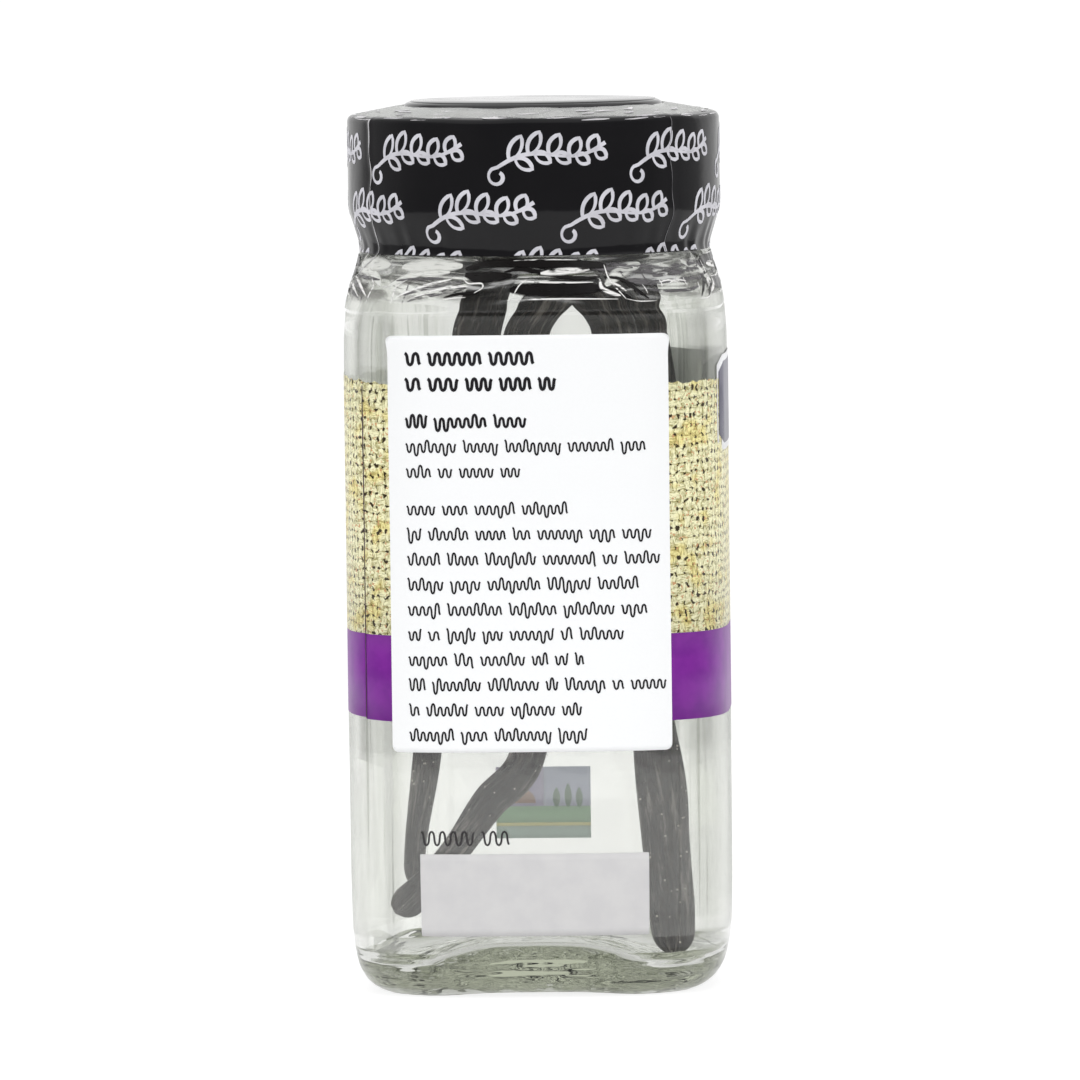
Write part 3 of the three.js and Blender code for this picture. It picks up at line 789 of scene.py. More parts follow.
def print_lift(along):
    """How much higher the print stands than its drawn level, because the label is wound askew."""
    way = (np.asarray(along) - SEAM) % AROUND / AROUND
    return np.interp(way, [0, 0.08, 0.5, 0.92, 1], [0.4, 0.0, 0.3, 0.95, 0.6])


def printed_area(name, along, bottom, top, look, above=0.0, **others):
    """A sheet of ink on the wrap label, `above` the lowest ink."""
    sheet = sheet_on_wall(name, along, bottom, top, PRINT_GAP + above, PRINT_THICK, look, **others)
    stands_for(sheet, None)


def banner_area(inward):
    """Columns of the banner, a rectangle with its corners cut off aslant, moved inwards from its edge."""
    cut_along, cut_up = BANNER_CHAMFER
    left, right = BANNER_LEFT + inward, BANNER_RIGHT - inward
    along = np.linspace(left + cut_along, right - cut_along, BANNER_COLUMNS)
    along = np.concatenate([[left], along, [right]])
    from_end = np.minimum(np.minimum(along - left, right - along), cut_along)
    inset = inward + cut_up * (1 - from_end / cut_along)
    return along, BANNER_BOTTOM + inset, BANNER_TOP - inset


ring_columns = np.linspace(-AROUND / 2, AROUND / 2, LABEL_COLUMNS, endpoint=False)
wrap = sheet_on_wall("wrap_film", ring_columns, WRAP_BOTTOM, WRAP_TOP, WRAP_GAP, WRAP_THICK,
                     film_look("milky_label_film", 0.05, 0.016), rows=24, ring=True)
stands_for(wrap, "wrap_label")

strip = SEAM + np.linspace(0.01, AROUND - 0.01, LABEL_COLUMNS)
lifted = print_lift(strip)
frayed = 0.1 * np.sin(strip * 2.9) + 0.08 * np.sin(strip * 5.3 + 1.0) + 0.1 * np.sin(strip * 0.9)
under_banner = (strip > BANNER_LEFT + BANNER_LAP) & (strip < BANNER_RIGHT - BANNER_LAP)
burlap_top = np.where(under_banner, BANNER_BOTTOM + 2.0, BURLAP_TOP + lifted + frayed)
burlap_bottom = BURLAP_BOTTOM + 0.3 * lifted
white_back = back_look()
printed_area("burlap_band", strip, burlap_bottom, burlap_top, burlap_look(), rows=3, back=white_back)
printed_area("purple_band", strip, PURPLE_BOTTOM + lifted, burlap_bottom - 0.02,
             ink_look("purple_ink", (128, 42, 152), (114, 34, 140)), rows=3, back=white_back)
printed_area("seam_edge", SEAM + np.array([-0.08, 0.08]), PURPLE_BOTTOM + 0.5, BURLAP_TOP,
             ink_look("seam_shade", (72, 44, 74), (60, 40, 50)), 0.03, rows=40)
printed_area("banner_line", *banner_area(0.0), ink_look("white_ink", (246, 246, 248), (240, 240, 243)), 0.03)
printed_area("banner_field", *banner_area(BANNER_LINE),
             ink_look("slate_ink", (134, 133, 145), (120, 119, 131)), 0.06)


def flat_shapes(name, outlines, thick):
    """Closed outlines (along, up) made thin plates of one flat mesh."""
    shell = bmesh.new()
    for outline in outlines:
        bottom = [shell.verts.new((x, y, 0)) for x, y in outline]
        top = [shell.verts.new((x, y, thick)) for x, y in outline]
        shell.faces.new(bottom[::-1])
        shell.faces.new(top)
        for k in range(len(bottom)):
            after = (k + 1) % len(bottom)
            shell.faces.new([bottom[k], bottom[after], top[after], top[k]])
    bmesh.ops.triangulate(shell, faces=[f for f in shell.faces if len(f.verts) > 4])
    mesh = bpy.data.meshes.new(name)
    shell.to_mesh(mesh)
    shell.free()
    return mesh


def moved_points(made, move):
    """Replaces every point of a flat mesh by move(along, up, out). Faces are turned outwards."""
    mesh = made.data
    flat = np.empty(len(mesh.vertices) * 3)
    mesh.vertices.foreach_get("co", flat)
    flat = flat.reshape(-1, 3)
    mesh.vertices.foreach_set("co", (move(*flat.T) * MM).ravel())
    map_surface(mesh, flat[:, :2])
    shell = bmesh.new()
    shell.from_mesh(mesh)
    bmesh.ops.recalc_face_normals(shell, faces=shell.faces)
    shell.to_mesh(mesh)
    shell.free()
    mesh.update()


# The panel on the far side: two fields of sky over a green strip, with a low sun and three leaves.
# Each field: name, from and to along the wall, bottom, top, colour. Each leaf: its place and height.
PANEL_START = AROUND / 2 - 6.0
PANEL_WIDTH = 12.9
PANEL_FIELDS = [
    ("sky", 0.0, 6.6, 19.4, 24.2, (214, 217, 230)),
    ("dusk", 6.6, PANEL_WIDTH, 19.4, 24.2, (209, 203, 222)),
    ("meadow", 0.0, PANEL_WIDTH, 17.45, 19.4, (190, 216, 190)),
    ("path", 0.0, PANEL_WIDTH, 17.05, 17.45, (238, 234, 190)),
    ("bank", 0.0, PANEL_WIDTH, 15.6, 17.05, (206, 219, 213)),
]
PANEL_COLUMNS = 14
SUN_ALONG, SUN_UP, SUN_RADIUS = 9.3, 19.8, 1.7
LEAVES = [(1.7, 2.6), (3.3, 3.1), (4.9, 2.6)]
LEAF_FOOT, LEAF_HALF = 19.1, 0.5

for name, start, end, bottom, top, colour in PANEL_FIELDS:
    printed_area("panel_" + name, PANEL_START + np.linspace(start, end, PANEL_COLUMNS), bottom, top,
                 backlit_ink("panel_" + name + "_ink", colour))
sun = [(PANEL_START + SUN_ALONG + SUN_RADIUS * np.cos(turn), SUN_UP + SUN_RADIUS * np.sin(turn))
       for turn in np.linspace(0, np.pi, 17)]
t = np.linspace(0, 1, 9)
bulge = LEAF_HALF * np.sin(np.pi * t) ** 0.8
leaves = [[*zip(PANEL_START + place - bulge, LEAF_FOOT + height * t),
           *zip((PANEL_START + place + bulge)[-2:0:-1], (LEAF_FOOT + height * t)[-2:0:-1])]
          for place, height in LEAVES]
for name, outlines, colour in (("sun", [sun], (244, 204, 170)), ("leaves", leaves, (170, 204, 172))):
    motif = shown("panel_" + name, flat_shapes(name, outlines, 0.04))
    motif.data.materials.append(backlit_ink("panel_" + name + "_ink", colour))
    moved_points(motif, lambda along, up, out: on_wall(along, up, out + PRINT_GAP - 0.006))
    stands_for(motif, None)

# ---- Recipe label -------------------------------------------------------------------------------
# A white satin paper label on the front. Its top corners have come up a little. Rows of plain
# wavy strokes stand for its print.
RECIPE_LEFT, RECIPE_RIGHT = -16.8, 16.5
RECIPE_BOTTOM, RECIPE_TOP = 29.1, 78.15
RECIPE_GAP, RECIPE_THICK = 0.26, 0.1
RECIPE_ROUND = 0.8
CURL_HEIGHT, CURL_REACH = 0.7, 2.5
PRINT_MARGIN = 2.25
WORD_LENGTHS = (1.3, 6.8)
WORD_GAP = 0.75
LEAST_WORD, LEAST_REST = 1.0, 1.6  # room that a further word needs, and that a word may leave behind it
# Each row: its middle below the label's top, length, height of the low strokes, their pitch, and the
# share of taller strokes.
TITLE_ROWS = [(2.75, 15.3, 1.35, 1.15, 0.0), (5.75, 17.8, 1.35, 1.15, 0.0)]
HEAD_ROWS = [(10.25, 14.3, 1.05, 0.95, 0.25)]
TEXT_ROWS = [(13.2, 28.2, 1.0, 0.85, 0.25), (16.15, 13.5, 1.0, 0.85, 0.25)]
TEXT_ROWS += [(20.55 + 2.957 * k, length, 1.0, 0.85, 0.25) for k, length in enumerate(
    (20.7, 28.8, 29.8, 27.2, 28.2, 25.4, 20.7, 30.4, 20.4, 21.0))]


def paper_look():
    look, tree = material("white_label_paper")
    fibre = cloud(tree, on_surface(tree), 3.0, 4.0)
    colour = blend(tree, fibre, rgb(248, 249, 250), rgb(252, 253, 254))
    return finished(look, coat(tree, colour, 0.45, relief=(fibre, 0.06, 0.0001)))


def recipe_curl(along, up):
    """Lift of the label near its two top corners."""
    near_top = np.clip(1 - (RECIPE_TOP - up) / CURL_REACH, 0, 1)
    near_side = np.clip(1 - np.minimum(along - RECIPE_LEFT, RECIPE_RIGHT - along) / CURL_REACH, 0, 1)
    return CURL_HEIGHT * (near_top * near_side) ** 1.5


recipe = sheet_on_wall(
    "recipe_paper", *rounded_ends(RECIPE_LEFT, RECIPE_RIGHT, RECIPE_BOTTOM, RECIPE_TOP, RECIPE_ROUND, 90),
    RECIPE_GAP, RECIPE_THICK, paper_look(), rows=80, curl=recipe_curl, back=white_back)
stands_for(recipe, "recipe_label")


def stroke_tree():
    """A flat stroke of even width along every line."""
    tree, given = start_tree(
        "printed_strokes", ("Width", "Float"), ("Thickness", "Float"), ("Ink", "Material"))
    lines = put(tree, "GeometryNodeMeshToCurve", {"Mesh": given["Geometry"]})
    flat = put(tree, "GeometryNodeSetCurveNormal", {"Curve": lines.outputs[0]}, mode="Z_UP")
    outline = put(tree, "GeometryNodeCurvePrimitiveQuadrilateral", {
        "Width": given["Width"], "Height": given["Thickness"]})
    strokes = put(tree, "GeometryNodeCurveToMesh", {
        "Curve": flat.outputs[0], "Profile Curve": outline.outputs[0], "Fill Caps": True})
    return end_tree(tree, strokes, given["Ink"])


def wavy_words(left, middle, length, height, pitch, taller, rng):
    """Lines of one printed row: words drawn as round waves, where `taller` is the share of the strokes
    that reach further up. Half as many reach further down."""
    lines = []
    at, end = left, left + length
    while at < end - LEAST_WORD:
        word_end = min(at + rng.uniform(*WORD_LENGTHS), end)
        if end - word_end < LEAST_REST:
            word_end = end
        turns = max(2, round((word_end - at) / (pitch / 2)))
        side = np.where(np.arange(turns + 1) % 2 == 0, 1.0, -1.0)
        chance = rng.uniform(size=turns + 1)
        further = np.where(chance < np.where(side > 0, taller, taller / 2), 0.4, 0.0)
        level = side * height * (0.5 + further)
        t = np.linspace(0, turns, turns * 8 + 1)[:-1]
        part = t % 1
        low, high = level[t.astype(int)], level[t.astype(int) + 1]
        x = at + (word_end - at) * (t + 0.12 * np.sin(2 * np.pi * part)) / turns
        y = middle + low + (high - low) * eased(part)
        lines.append(np.stack([x, y], axis=-1))
        at = word_end + WORD_GAP
    return lines


def printed_rows(name, rows, left, top, width, ink, gap, seed):
    rng = np.random.default_rng(seed)
    lines = [line for below, *sizes in rows for line in wavy_words(left, top - below, *sizes, rng)]
    points, edges = [], []
    for line in lines:
        edges += [(len(points) + k, len(points) + k + 1) for k in range(len(line) - 1)]
        points += [(x, y, 0) for x, y in line]
    mesh = bpy.data.meshes.new(name + "_lines")
    mesh.from_pydata(points, edges, [])
    made = grown(name, mesh, strokes_along_lines, {"Width": width, "Thickness": 0.02, "Ink": ink})
    moved_points(made, lambda along, up, out: on_wall(along, up, out + gap))
    return made


strokes_along_lines = stroke_tree()
black_ink = ink_look("black_ink", (34, 32, 36), (26, 24, 28), 0.4)
for name, rows, width, seed in (
        ("title", TITLE_ROWS, 0.37, 11), ("head", HEAD_ROWS, 0.3, 12), ("text", TEXT_ROWS, 0.21, 13)):
    rows_made = printed_rows("recipe_" + name, rows, RECIPE_LEFT + PRINT_MARGIN, RECIPE_TOP, width,
                             black_ink, RECIPE_GAP + RECIPE_THICK + 0.02, seed)
    stands_for(rows_made, None)

# ---- Date patch ---------------------------------------------------------------------------------
# A pale grey field near the foot with a short printed row over its left end.
DATE_LEFT, DATE_RIGHT = -13.5, 13.5
DATE_BOTTOM, DATE_TOP = 7.4, 17.1
DATE_GAP, DATE_THICK = 0.22, 0.05
DATE_ROW = (-18.95, 10.6, 1.6, 1.3, 0.0)  # like the rows of the recipe label, but from the ground up

date_patch = sheet_on_wall(
    "date_field", *rounded_ends(DATE_LEFT, DATE_RIGHT, DATE_BOTTOM, DATE_TOP, 0.15, 60),
    DATE_GAP, DATE_THICK, ink_look("pale_grey_ink", (213, 212, 212), (207, 206, 207), 0.45), rows=12)
stands_for(date_patch, "date_patch")
date_row = printed_rows("date_row", [DATE_ROW], DATE_LEFT + 0.1, 0.0, 0.24,
                        ink_look("grey_ink", (66, 64, 66), (54, 52, 54)), PRINT_GAP + 0.03, 4)
stands_for(date_row, None)

# ---- Shrink band --------------------------------------------------------------------------------
# A sleeve of thin film shrunk over the cap and the shoulder. The printed part is gloss black with
# pale leaf sprigs. The film is clear and crinkled below the print, and clear on the cone of the cap.
FILM_COLUMNS = 440
FILM_RADIUS = 22.05
FILM_THICK = 0.06
PRINT_BOTTOM = 87.35
PRINT_TOP = 103.6
RIM_HEIGHT = 103.3  # up to which the leaf sprigs and the long creases reach
# Height, half width, squareness: from the edge of the clear skirt up to the opening in the top.
FILM_ROWS = [
    (80.8, 22.34, 3.31), (83.2, 21.87, 3.0), (85.2, 21.22, 2.6),
    (87.3, 20.75, 2.1), (88.3, 20.8, 2.0), (90.2, 21.35, 2.0), (91.9, 21.9, 2.0),
    (93.1, FILM_RADIUS, 2.0), (98.0, FILM_RADIUS, 2.0), (102.6, FILM_RADIUS, 2.0),
    (103.0, 21.98, 2.0), (103.34, 21.75, 2.0), (103.52, 21.35, 2.0), (103.9, 19.5, 2.0),
    (104.35, 17.1, 2.0), (104.55, 16.0, 2.0), (104.58, 15.75, 2.0),
]
LEFT_CREASE = FRONT - math.radians(58.5)
RIGHT_CREASE = FRONT + math.radians(49.7)
film_rows = smooth_rows(FILM_ROWS, 7)


def ripples(angle, up, rng, count, around, rise):
    """A smooth uneven field with about `around` waves round the jar and a wave in `rise` upwards."""
    total = 0.0
    for _ in range(count):
        waves = round(around * rng.uniform(0.5, 1.6))
        slant = rng.uniform(-1, 1) * 2 * np.pi / rise
        total = total + np.sin(waves * angle + slant * up + rng.uniform(0, 2 * np.pi))
    return total / math.sqrt(count)


def turn_from(angle, place):
    return (angle - place + np.pi) % (2 * np.pi) - np.pi


def crease_at(place, up):
    """Angle of a long crease at a height. It wavers, and on the clear skirt it runs out to the side."""
    wavering = 0.012 * np.sin(up / 2.3 + place) + 0.006 * np.sin(up / 0.8)
    return place + wavering + np.sign(place - FRONT) * np.clip(87.5 - up, 0, 9) * 0.05


def film_relief(angle, up):
    """How far the film stands out from its plain form, in millimetres."""
    rng = np.random.default_rng(17)
    broad = ripples(angle, up, rng, 6, 9, 14.0)
    gathers = ripples(angle, up, rng, 8, 46, 16.0)
    fine = ripples(angle, up, rng, 8, 90, 5.0)
    waist = np.exp(-((up - 88.6) / 2.4) ** 2)
    skirt = np.clip((PRINT_BOTTOM - up) / 2.5, 0, 1) * np.clip((up - 80.5) / 1.5, 0.25, 1)
    rim = np.clip((up - 102.4) / 1.0, 0, 1)
    relief = 0.02 * broad + waist * 0.05 * gathers + skirt * (0.035 * gathers + 0.02 * fine)
    relief = relief + rim * (0.04 * broad + 0.012 * ripples(angle, up, rng, 7, 24, 3.0))
    for place, height in ((LEFT_CREASE, 0.12), (RIGHT_CREASE, 0.08)):
        apart = turn_from(angle, crease_at(place, up)) * FILM_RADIUS
        relief = relief + height * np.exp(-np.abs(apart) / 0.28) * np.clip((104.0 - up) / 1.0, 0, 1)
    return relief


def black_film_look():
    look, tree = material("black_printed_film")
    soft = cloud(tree, in_object(tree), 130.0, 3.0)
    colour = blend(tree, soft, rgb(19, 19, 21), rgb(28, 27, 29))
    return finished(look, coat(tree, colour, 0.14, {"IOR": 1.3}, (soft, 0.3, 0.0004)))


film_angles = np.arange(FILM_COLUMNS) / FILM_COLUMNS * 2 * np.pi
slopes = np.gradient(film_rows[:, :2], axis=0)
slopes /= np.linalg.norm(slopes, axis=1)[:, None]
outside, inside = [], []
for (z, half, power), (upwards, outwards) in zip(film_rows, slopes):
    relief = film_relief(film_angles, z)
    for rows, depth in ((outside, 0.0), (inside, FILM_THICK)):
        x, y = section(half, power, film_angles, (relief - depth) * upwards)
        rows.append(np.stack([x, y, z - (relief - depth) * outwards], axis=-1))
film_points = np.concatenate(outside + inside[::-1])
film_faces = lattice_faces(2 * len(film_rows), FILM_COLUMNS, wrap_rows=True)
face_corners = np.array(film_faces)
middle = (film_points[face_corners[:, 0], 2] + film_points[face_corners[:, 2], 2]) / 2
face_turn = film_angles[face_corners[:, 0] % FILM_COLUMNS]
ragged = 0.07 * ripples(face_turn, 0.0, np.random.default_rng(5), 6, 14, 9.0)
is_printed = ((middle > PRINT_BOTTOM) & (middle < PRINT_TOP + ragged)).astype(int)
film_map = np.stack(np.broadcast_arrays(film_angles * FILM_RADIUS, film_rows[:, :1]), axis=-1)
film_map = np.concatenate([film_map, film_map[::-1]]).reshape(-1, 2)
band = piece("shrink_film", film_points, film_faces,
             [film_look("clear_shrink_film", 0.012, 0.01, crinkled=True), black_film_look()],
             film_map, look_of_face=is_printed)
stands_for(band, "shrink_band")


def on_film(along, up, out):
    """Points on the film's outside, `along` it from the front's middle to the right."""
    angle = FRONT + np.asarray(along) / FILM_RADIUS
    up = np.asarray(up)
    half, power = (np.interp(up, film_rows[:, 0], film_rows[:, k]) for k in (1, 2))
    x, y = section(half, power, angle, film_relief(angle, up) + out)
    return np.stack([x, y, up + out * (up > 103.5)], axis=-1)


def strokes(name, lines, thick):
    """A flat mesh of plates that follow lines. Each line is a pair: its points and its widths."""
    points, faces = [], []
    for line, widths in lines:
        along = np.gradient(line, axis=0)
        along /= np.linalg.norm(along, axis=1)[:, None]
        side = np.stack([-along[:, 1], along[:, 0]], axis=-1) * np.reshape(widths, (-1, 1)) / 2
        start = len(points)
        for edge, height in ((-side, 0), (side, 0), (side, thick), (-side, thick)):
            points += [(x, y, height) for x, y in line + edge]
        count = len(line)
        for k in range(4):
            near, far = start + k * count, start + (k + 1) % 4 * count
            faces += [(near + i, far + i, far + i + 1, near + i + 1) for i in range(count - 1)]
        faces += [[start + k * count + end for k in range(4)] for end in (0, count - 1)]
    mesh = bpy.data.meshes.new(name)
    mesh.from_pydata(points, [], faces)
    across = np.concatenate([np.repeat([-1.0, 1.0, 1.0, -1.0], len(line)) for line, _ in lines])
    mesh.attributes.new("across", "FLOAT", "POINT").data.foreach_set("value", across)
    return mesh


def crease_lines():
    """Pale lines of painted highlight where the film is folded sharply: the long crease on the left, and
    short jagged glints along the cap's rim and on the cone above it."""
    rng = np.random.default_rng(31)
    up = np.linspace(81.2, RIM_HEIGHT, 150)
    long_crease = np.stack([(crease_at(LEFT_CREASE, up) - FRONT) * FILM_RADIUS, up], axis=-1)
    width = 0.13 + 0.07 * np.sin(up * 1.7) + 0.25 * np.clip((up - 101.0) / 2.3, 0, 1)
    lines = [(long_crease, width)]
    half_way = math.pi * FILM_RADIUS
    for count, low, high, run, lean, wide in (
            (44, 103.2, 103.62, 2.4, 0.05, 0.12), (34, 103.65, 104.3, 1.8, 0.08, 0.09)):
        for _ in range(count):
            steps = rng.integers(3, 6)
            places = np.cumsum(rng.uniform(0.3, 1.0, steps) * run * 0.6)
            heights = np.cumsum(rng.uniform(-0.6, 1.0, steps) * lean)
            start = rng.uniform(-half_way, half_way - places[-1])
            line = np.stack([start + places, rng.uniform(low, high) + heights - heights.mean()], axis=-1)
            if line[:, 1].max() < 104.5:
                lines.append((line, wide * rng.uniform(0.5, 1.5) * np.sin(np.linspace(0.35, 2.8, steps))))
    return lines


def drawn_on_film(name, lines, look, lift=0.015):
    made = shown(name, strokes(name, lines, 0.02))
    made.data.materials.append(look)
    moved_points(made, lambda along, up, out: on_film(along, up, out + lift))
    stands_for(made, None)


# Painted reflections on the folds of the clear film over each shoulder: dark where they mirror the dark
# cap, pale where they catch the light. Each tone: its colour, where in its streaks it begins to show and
# where it covers, and its shapes. Each shape: its greatest width, and the line it follows, as the way along
# the film from the face's middle and the height.
GLEAMS = {
    "mist": ((219, 220, 215), 0.05, 0.5, [
        (1.6, [(-16.2, 86.1), (-12.5, 86.2), (-8.0, 86.2)]),
        (1.3, [(20.6, 86.2), (23.4, 85.4), (25.6, 83.8)]),
        (0.9, [(-22.0, 85.4), (-20.0, 84.9), (-18.0, 83.9)]),
        (0.7, [(-14.0, 85.2), (-11.6, 85.4), (-9.4, 85.5)])]),
    "dusk": ((98, 96, 98), 0.36, 0.62, [
        (1.3, [(7.9, 85.8), (11.3, 85.8), (15.1, 85.5), (19.7, 84.8)]),
        (0.8, [(11.5, 84.4), (13.7, 84.1), (17.8, 84.2)]),
        (0.4, [(13.4, 83.3), (15.6, 83.0), (18.7, 83.0)]),
        (0.4, [(-15.9, 84.5), (-13.0, 84.7), (-10.0, 84.8)]),
        (0.45, [(-14.3, 82.8), (-11.9, 83.6), (-9.2, 84.2), (-7.4, 84.5)]),
        (0.4, [(-12.3, 82.4), (-10.2, 83.0), (-7.2, 83.8)]),
        (0.3, [(-13.5, 82.1), (-12.0, 82.7), (-10.5, 83.1)]),
        (0.22, [(23.6, 86.1), (23.2, 84.5), (22.0, 82.6)]),
        (0.16, [(21.2, 85.8), (20.7, 84.2), (19.7, 82.7)]),
        (0.2, [(-20.6, 84.2), (-20.7, 83.0), (-20.5, 81.8)])]),
    "dark": ((24, 22, 22), 0.24, 0.4, [
        (1.05, [(-7.6, 85.9), (-4.2, 86.5), (1.9, 86.4), (8.0, 86.2), (9.6, 86.0)]),
        (1.3, [(-7.5, 85.2), (-5.4, 84.9), (-1.9, 85.1)]),
        (0.55, [(-2.8, 85.5), (-0.8, 85.8), (2.2, 85.3), (5.8, 84.7), (8.6, 84.8)]),
        (1.85, [(-2.1, 83.4), (1.2, 83.4), (5.1, 83.5), (8.7, 83.5)]),
        (0.45, [(9.1, 84.8), (10.9, 84.5), (12.2, 83.4), (13.5, 82.2)]),
        (0.35, [(9.4, 83.5), (10.6, 82.9), (11.9, 82.0)]),
        (0.4, [(-9.5, 82.6), (-7.8, 83.0), (-5.6, 83.1)])]),
    "pale": ((236, 235, 233), 0.32, 0.5, [
        (0.8, [(1.6, 85.3), (4.2, 85.5), (7.5, 85.7)]),
        (0.14, [(-1.7, 86.8), (1.9, 86.9), (6.2, 86.8)]),
        (0.22, [(-1.8, 84.5), (1.2, 84.3), (4.8, 84.2), (7.7, 84.2)]),
        (0.2, [(-2.4, 82.2), (1.2, 82.3), (5.6, 82.3), (10.2, 82.2)]),
        (0.2, [(-7.6, 84.7), (-6.9, 84.2), (-5.5, 84.2), (-5.3, 83.7), (-6.2, 83.1)]),
        (0.5, [(8.5, 84.5), (8.6, 83.5), (9.6, 82.9), (10.5, 82.6)]),
        (0.3, [(9.3, 84.3), (10.4, 83.8), (11.2, 83.1)]),
        (0.16, [(-1.7, 82.7), (-1.0, 83.9), (-0.1, 84.6)]),
        (0.34, [(-15.0, 82.6), (-13.2, 83.5), (-11.1, 84.2), (-9.0, 84.7)]),
        (0.28, [(-11.5, 83.2), (-9.4, 83.7), (-6.9, 83.9)]),
        (0.16, [(-13.2, 82.5), (-11.5, 83.1), (-9.7, 83.5)]),
        (0.14, [(-10.1, 82.2), (-8.6, 82.5), (-7.1, 82.6)]),
        (0.12, [(-15.7, 83.4), (-15.2, 84.1), (-14.4, 84.6)]),
        (0.14, [(15.5, 84.4), (15.6, 83.9), (15.5, 83.4)]),
        (0.2, [(16.7, 83.9), (17.9, 84.2), (19.3, 84.0)]),
        (0.12, [(13.2, 83.8), (13.4, 83.3), (13.5, 82.8)]),
        (0.12, [(11.1, 82.2), (12.5, 81.9), (14.3, 81.9)]),
        (0.2, [(25.3, 86.2), (25.0, 84.4), (23.6, 82.2)]),
        (0.2, [(-19.1, 84.0), (-19.2, 82.8), (-19.2, 81.8)])]),
}
GLEAM_CORE = 0.45  # part of a shape's width inside its soft edges
GLEAM_TURN = -12
GLEAM_STEPS = 30


def gleam_look(name, colour, thin, solid):
    """A streaky tone of painted reflection with soft edges, that lets the film under it through in places.
    """
    look, tree = material(name)
    streaks = cloud(tree, on_surface(tree), 1.0, 3.0, (0.5, 3.2), GLEAM_TURN, Distortion=0.6)
    across = put(tree, "ShaderNodeAttribute", attribute_name="across").outputs["Fac"]
    soft_edge = fade(tree, maths(tree, "ABSOLUTE", across), 1.0, GLEAM_CORE)
    cover = times(tree, fade(tree, streaks, thin, solid), soft_edge)
    clear = put(tree, "ShaderNodeBsdfTransparent", {"Color": (1, 1, 1, 1)})
    return finished(look, mixed(tree, cover, clear, print_skin(tree, rgb(*colour), 0.25)))


def gleam_lines(shapes):
    """The shapes on all four shoulders. Every other shoulder has them the other way round."""
    swell = 1.25 * np.sin(np.linspace(0.12, math.pi - 0.12, GLEAM_STEPS)) ** 0.6
    lines = []
    for face in range(4):
        for wide, route in shapes:
            line = route_at(route, np.linspace(0, 1, GLEAM_STEPS))
            line[:, 0] = line[:, 0] * (1 - 2 * (face % 2)) + face * math.pi / 2 * FILM_RADIUS
            lines.append((line, wide * swell))
    return lines


# Pale painted highlights along the long crease, the cap's rim and the cone.
drawn_on_film("cracked_creases", crease_lines(),
              ink_look("painted_crease_highlight", (214, 212, 214), (176, 174, 178), 0.3))
# A thin grey painted highlight along the right crease.
up = np.linspace(87.4, RIM_HEIGHT, 120)
faint_crease = np.stack([(crease_at(RIGHT_CREASE, up) - FRONT) * FILM_RADIUS, up], axis=-1)
drawn_on_film("faint_crease", [(faint_crease, 0.07 + 0.03 * np.sin(up * 1.3))],
              ink_look("faint_crease_highlight", (126, 125, 128), (104, 103, 106), 0.3))
for k, (tone, (colour, thin, solid, shapes)) in enumerate(GLEAMS.items()):
    drawn_on_film("gleams_" + tone, gleam_lines(shapes), gleam_look("gleam_" + tone, colour, thin, solid),
                  0.012 + 0.025 * k)

# ---- Leaf sprigs --------------------------------------------------------------------------------
# The pale print on the band: rising sprigs in staggered rows, drawn with a stroke that swells a little.
SPRIG_ROWS = [(99.2, 0.0), (92.3, 0.5), (85.6, 0.0)]
SPRIGS_AROUND = 8
SPRIG_TILT = math.radians(12)
SPRIG_STROKE = 0.5
SPRIG_THICK = 0.02
STEM_HALF, STEM_WAVE = 6.6, 0.75
LEAF_PARTS = (0.12, 0.3, 0.48, 0.66, 0.84)  # of the way up the stem


def rotated(line, turn):
    cos, sin = math.cos(turn), math.sin(turn)
    return line @ np.array([[cos, sin], [-sin, cos]])


def leaf_loop(x, y, length, width, direction):
    """A leaf drawn as one looping line that starts and ends on the stem."""
    t = np.linspace(0, 1, 11)
    there = np.stack([t * length, width / 2 * np.sin(np.pi * t) ** 0.7], axis=-1)
    back = (there * (1, -1))[-2::-1]
    return rotated(np.concatenate([there, back]), direction) + (x, y)


def on_stem(part):
    return STEM_HALF * (2 * part - 1), STEM_WAVE * np.sin(2 * np.pi * part)


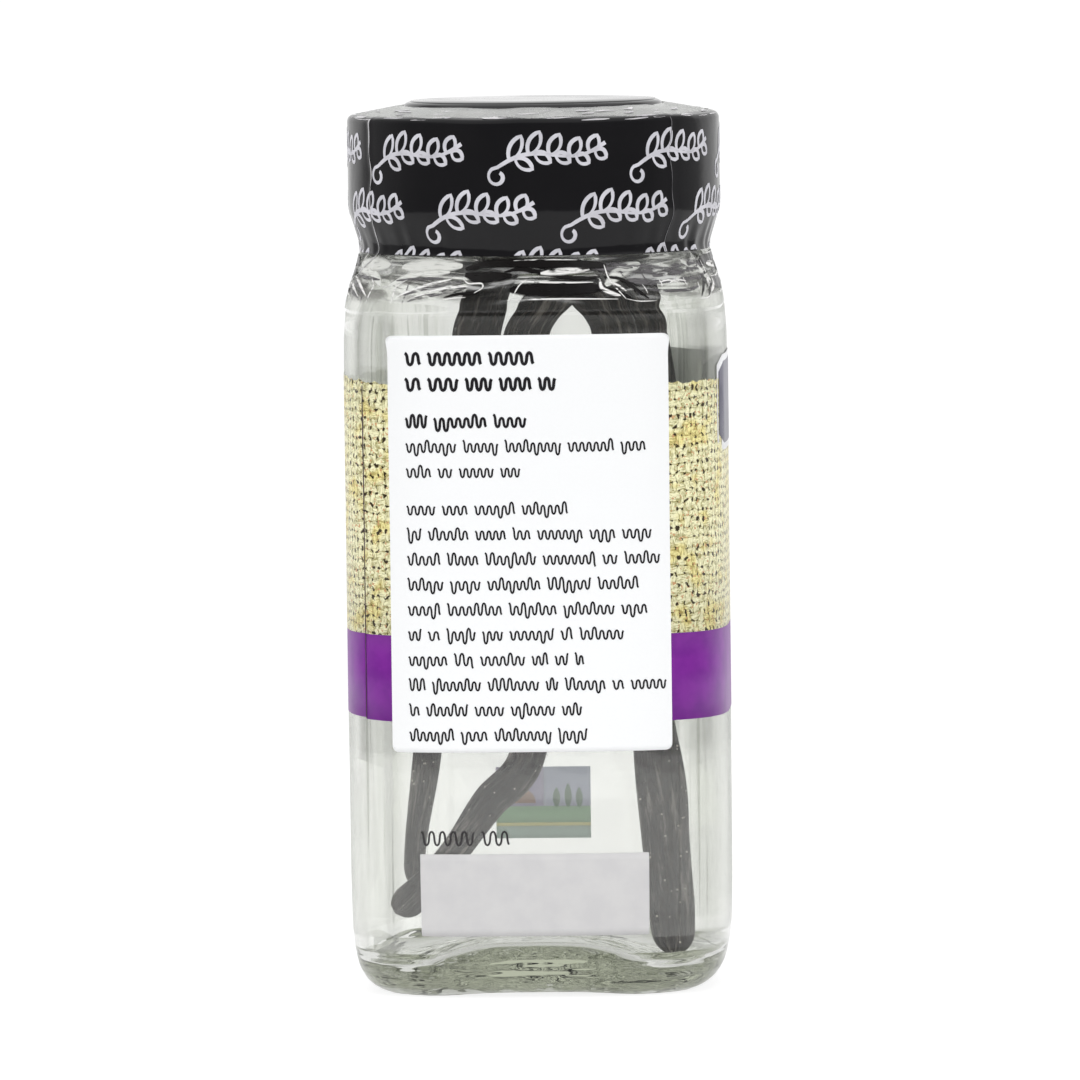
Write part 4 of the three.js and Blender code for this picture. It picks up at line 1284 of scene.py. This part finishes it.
def sprig_mesh():
    """One sprig: a tendril that runs on into the stem, and leaves on both sides of it."""
    curl = np.linspace(1.75 * np.pi, 0.12 * np.pi, 26)
    radius = 1.15 * (1 - curl / 11)
    tendril = np.stack([-6.9 - radius * np.sin(curl), -1.1 + radius * np.cos(curl)], axis=-1)
    lines = [np.concatenate([tendril, np.stack(on_stem(np.linspace(0, 1, 30)), axis=-1)])]
    for k, part in enumerate(LEAF_PARTS):
        x, y = on_stem(part)
        size = 3.1 - 0.25 * k
        lines.append(leaf_loop(x, y, size, 1.35, math.radians(52)))
        lines.append(leaf_loop(x + 0.7, y, size * 0.75, 1.15, math.radians(-44)))
    widths = [SPRIG_STROKE * (0.82 + 0.18 * np.sin(np.arange(len(line)) / 4)) for line in lines]
    return strokes("sprig", [(rotated(line, SPRIG_TILT), w) for line, w in zip(lines, widths)], SPRIG_THICK)


def sprig_tree(sprig):
    """One sprig on each point."""
    tree, given = start_tree("sprigs_in_rows", ("Size", "Float"), ("Ink", "Material"))
    one = put(tree, "GeometryNodeObjectInfo", {"Object": sprig})
    rows = put(tree, "GeometryNodeInstanceOnPoints", {
        "Points": given["Geometry"], "Instance": one.outputs["Geometry"], "Scale": given["Size"]})
    return end_tree(tree, rows, given["Ink"])


sprig = shown("sprig", sprig_mesh())
pitch = 2 * math.pi * FILM_RADIUS / SPRIGS_AROUND
spots = bpy.data.meshes.new("sprig_spots")
spots.from_pydata([((k + stagger + 0.18) * pitch, up, 0) for up, stagger in SPRIG_ROWS
                   for k in range(SPRIGS_AROUND)], [], [])
sprigs = grown("leaf_sprigs", spots, sprig_tree(sprig), {
    "Size": 1.0, "Ink": ink_look("pale_ink", (218, 217, 224), (200, 199, 206))})
bpy.data.objects.remove(sprig)
trimmed = bmesh.new()
trimmed.from_mesh(sprigs.data)
for height, side in ((PRINT_BOTTOM + 0.05, -1), (RIM_HEIGHT, 1)):
    cut = bmesh.ops.bisect_plane(
        trimmed, geom=trimmed.verts[:] + trimmed.edges[:] + trimmed.faces[:],
        plane_co=(0, height, 0), plane_no=(0, side, 0), clear_outer=True)
    rims = [e for e in cut["geom_cut"] if isinstance(e, bmesh.types.BMEdge)]
    bmesh.ops.holes_fill(trimmed, edges=rims)
trimmed.to_mesh(sprigs.data)
trimmed.free()
moved_points(sprigs, lambda along, up, out: on_film(along, up, out + SPRIG_THICK))
stands_for(sprigs, None)
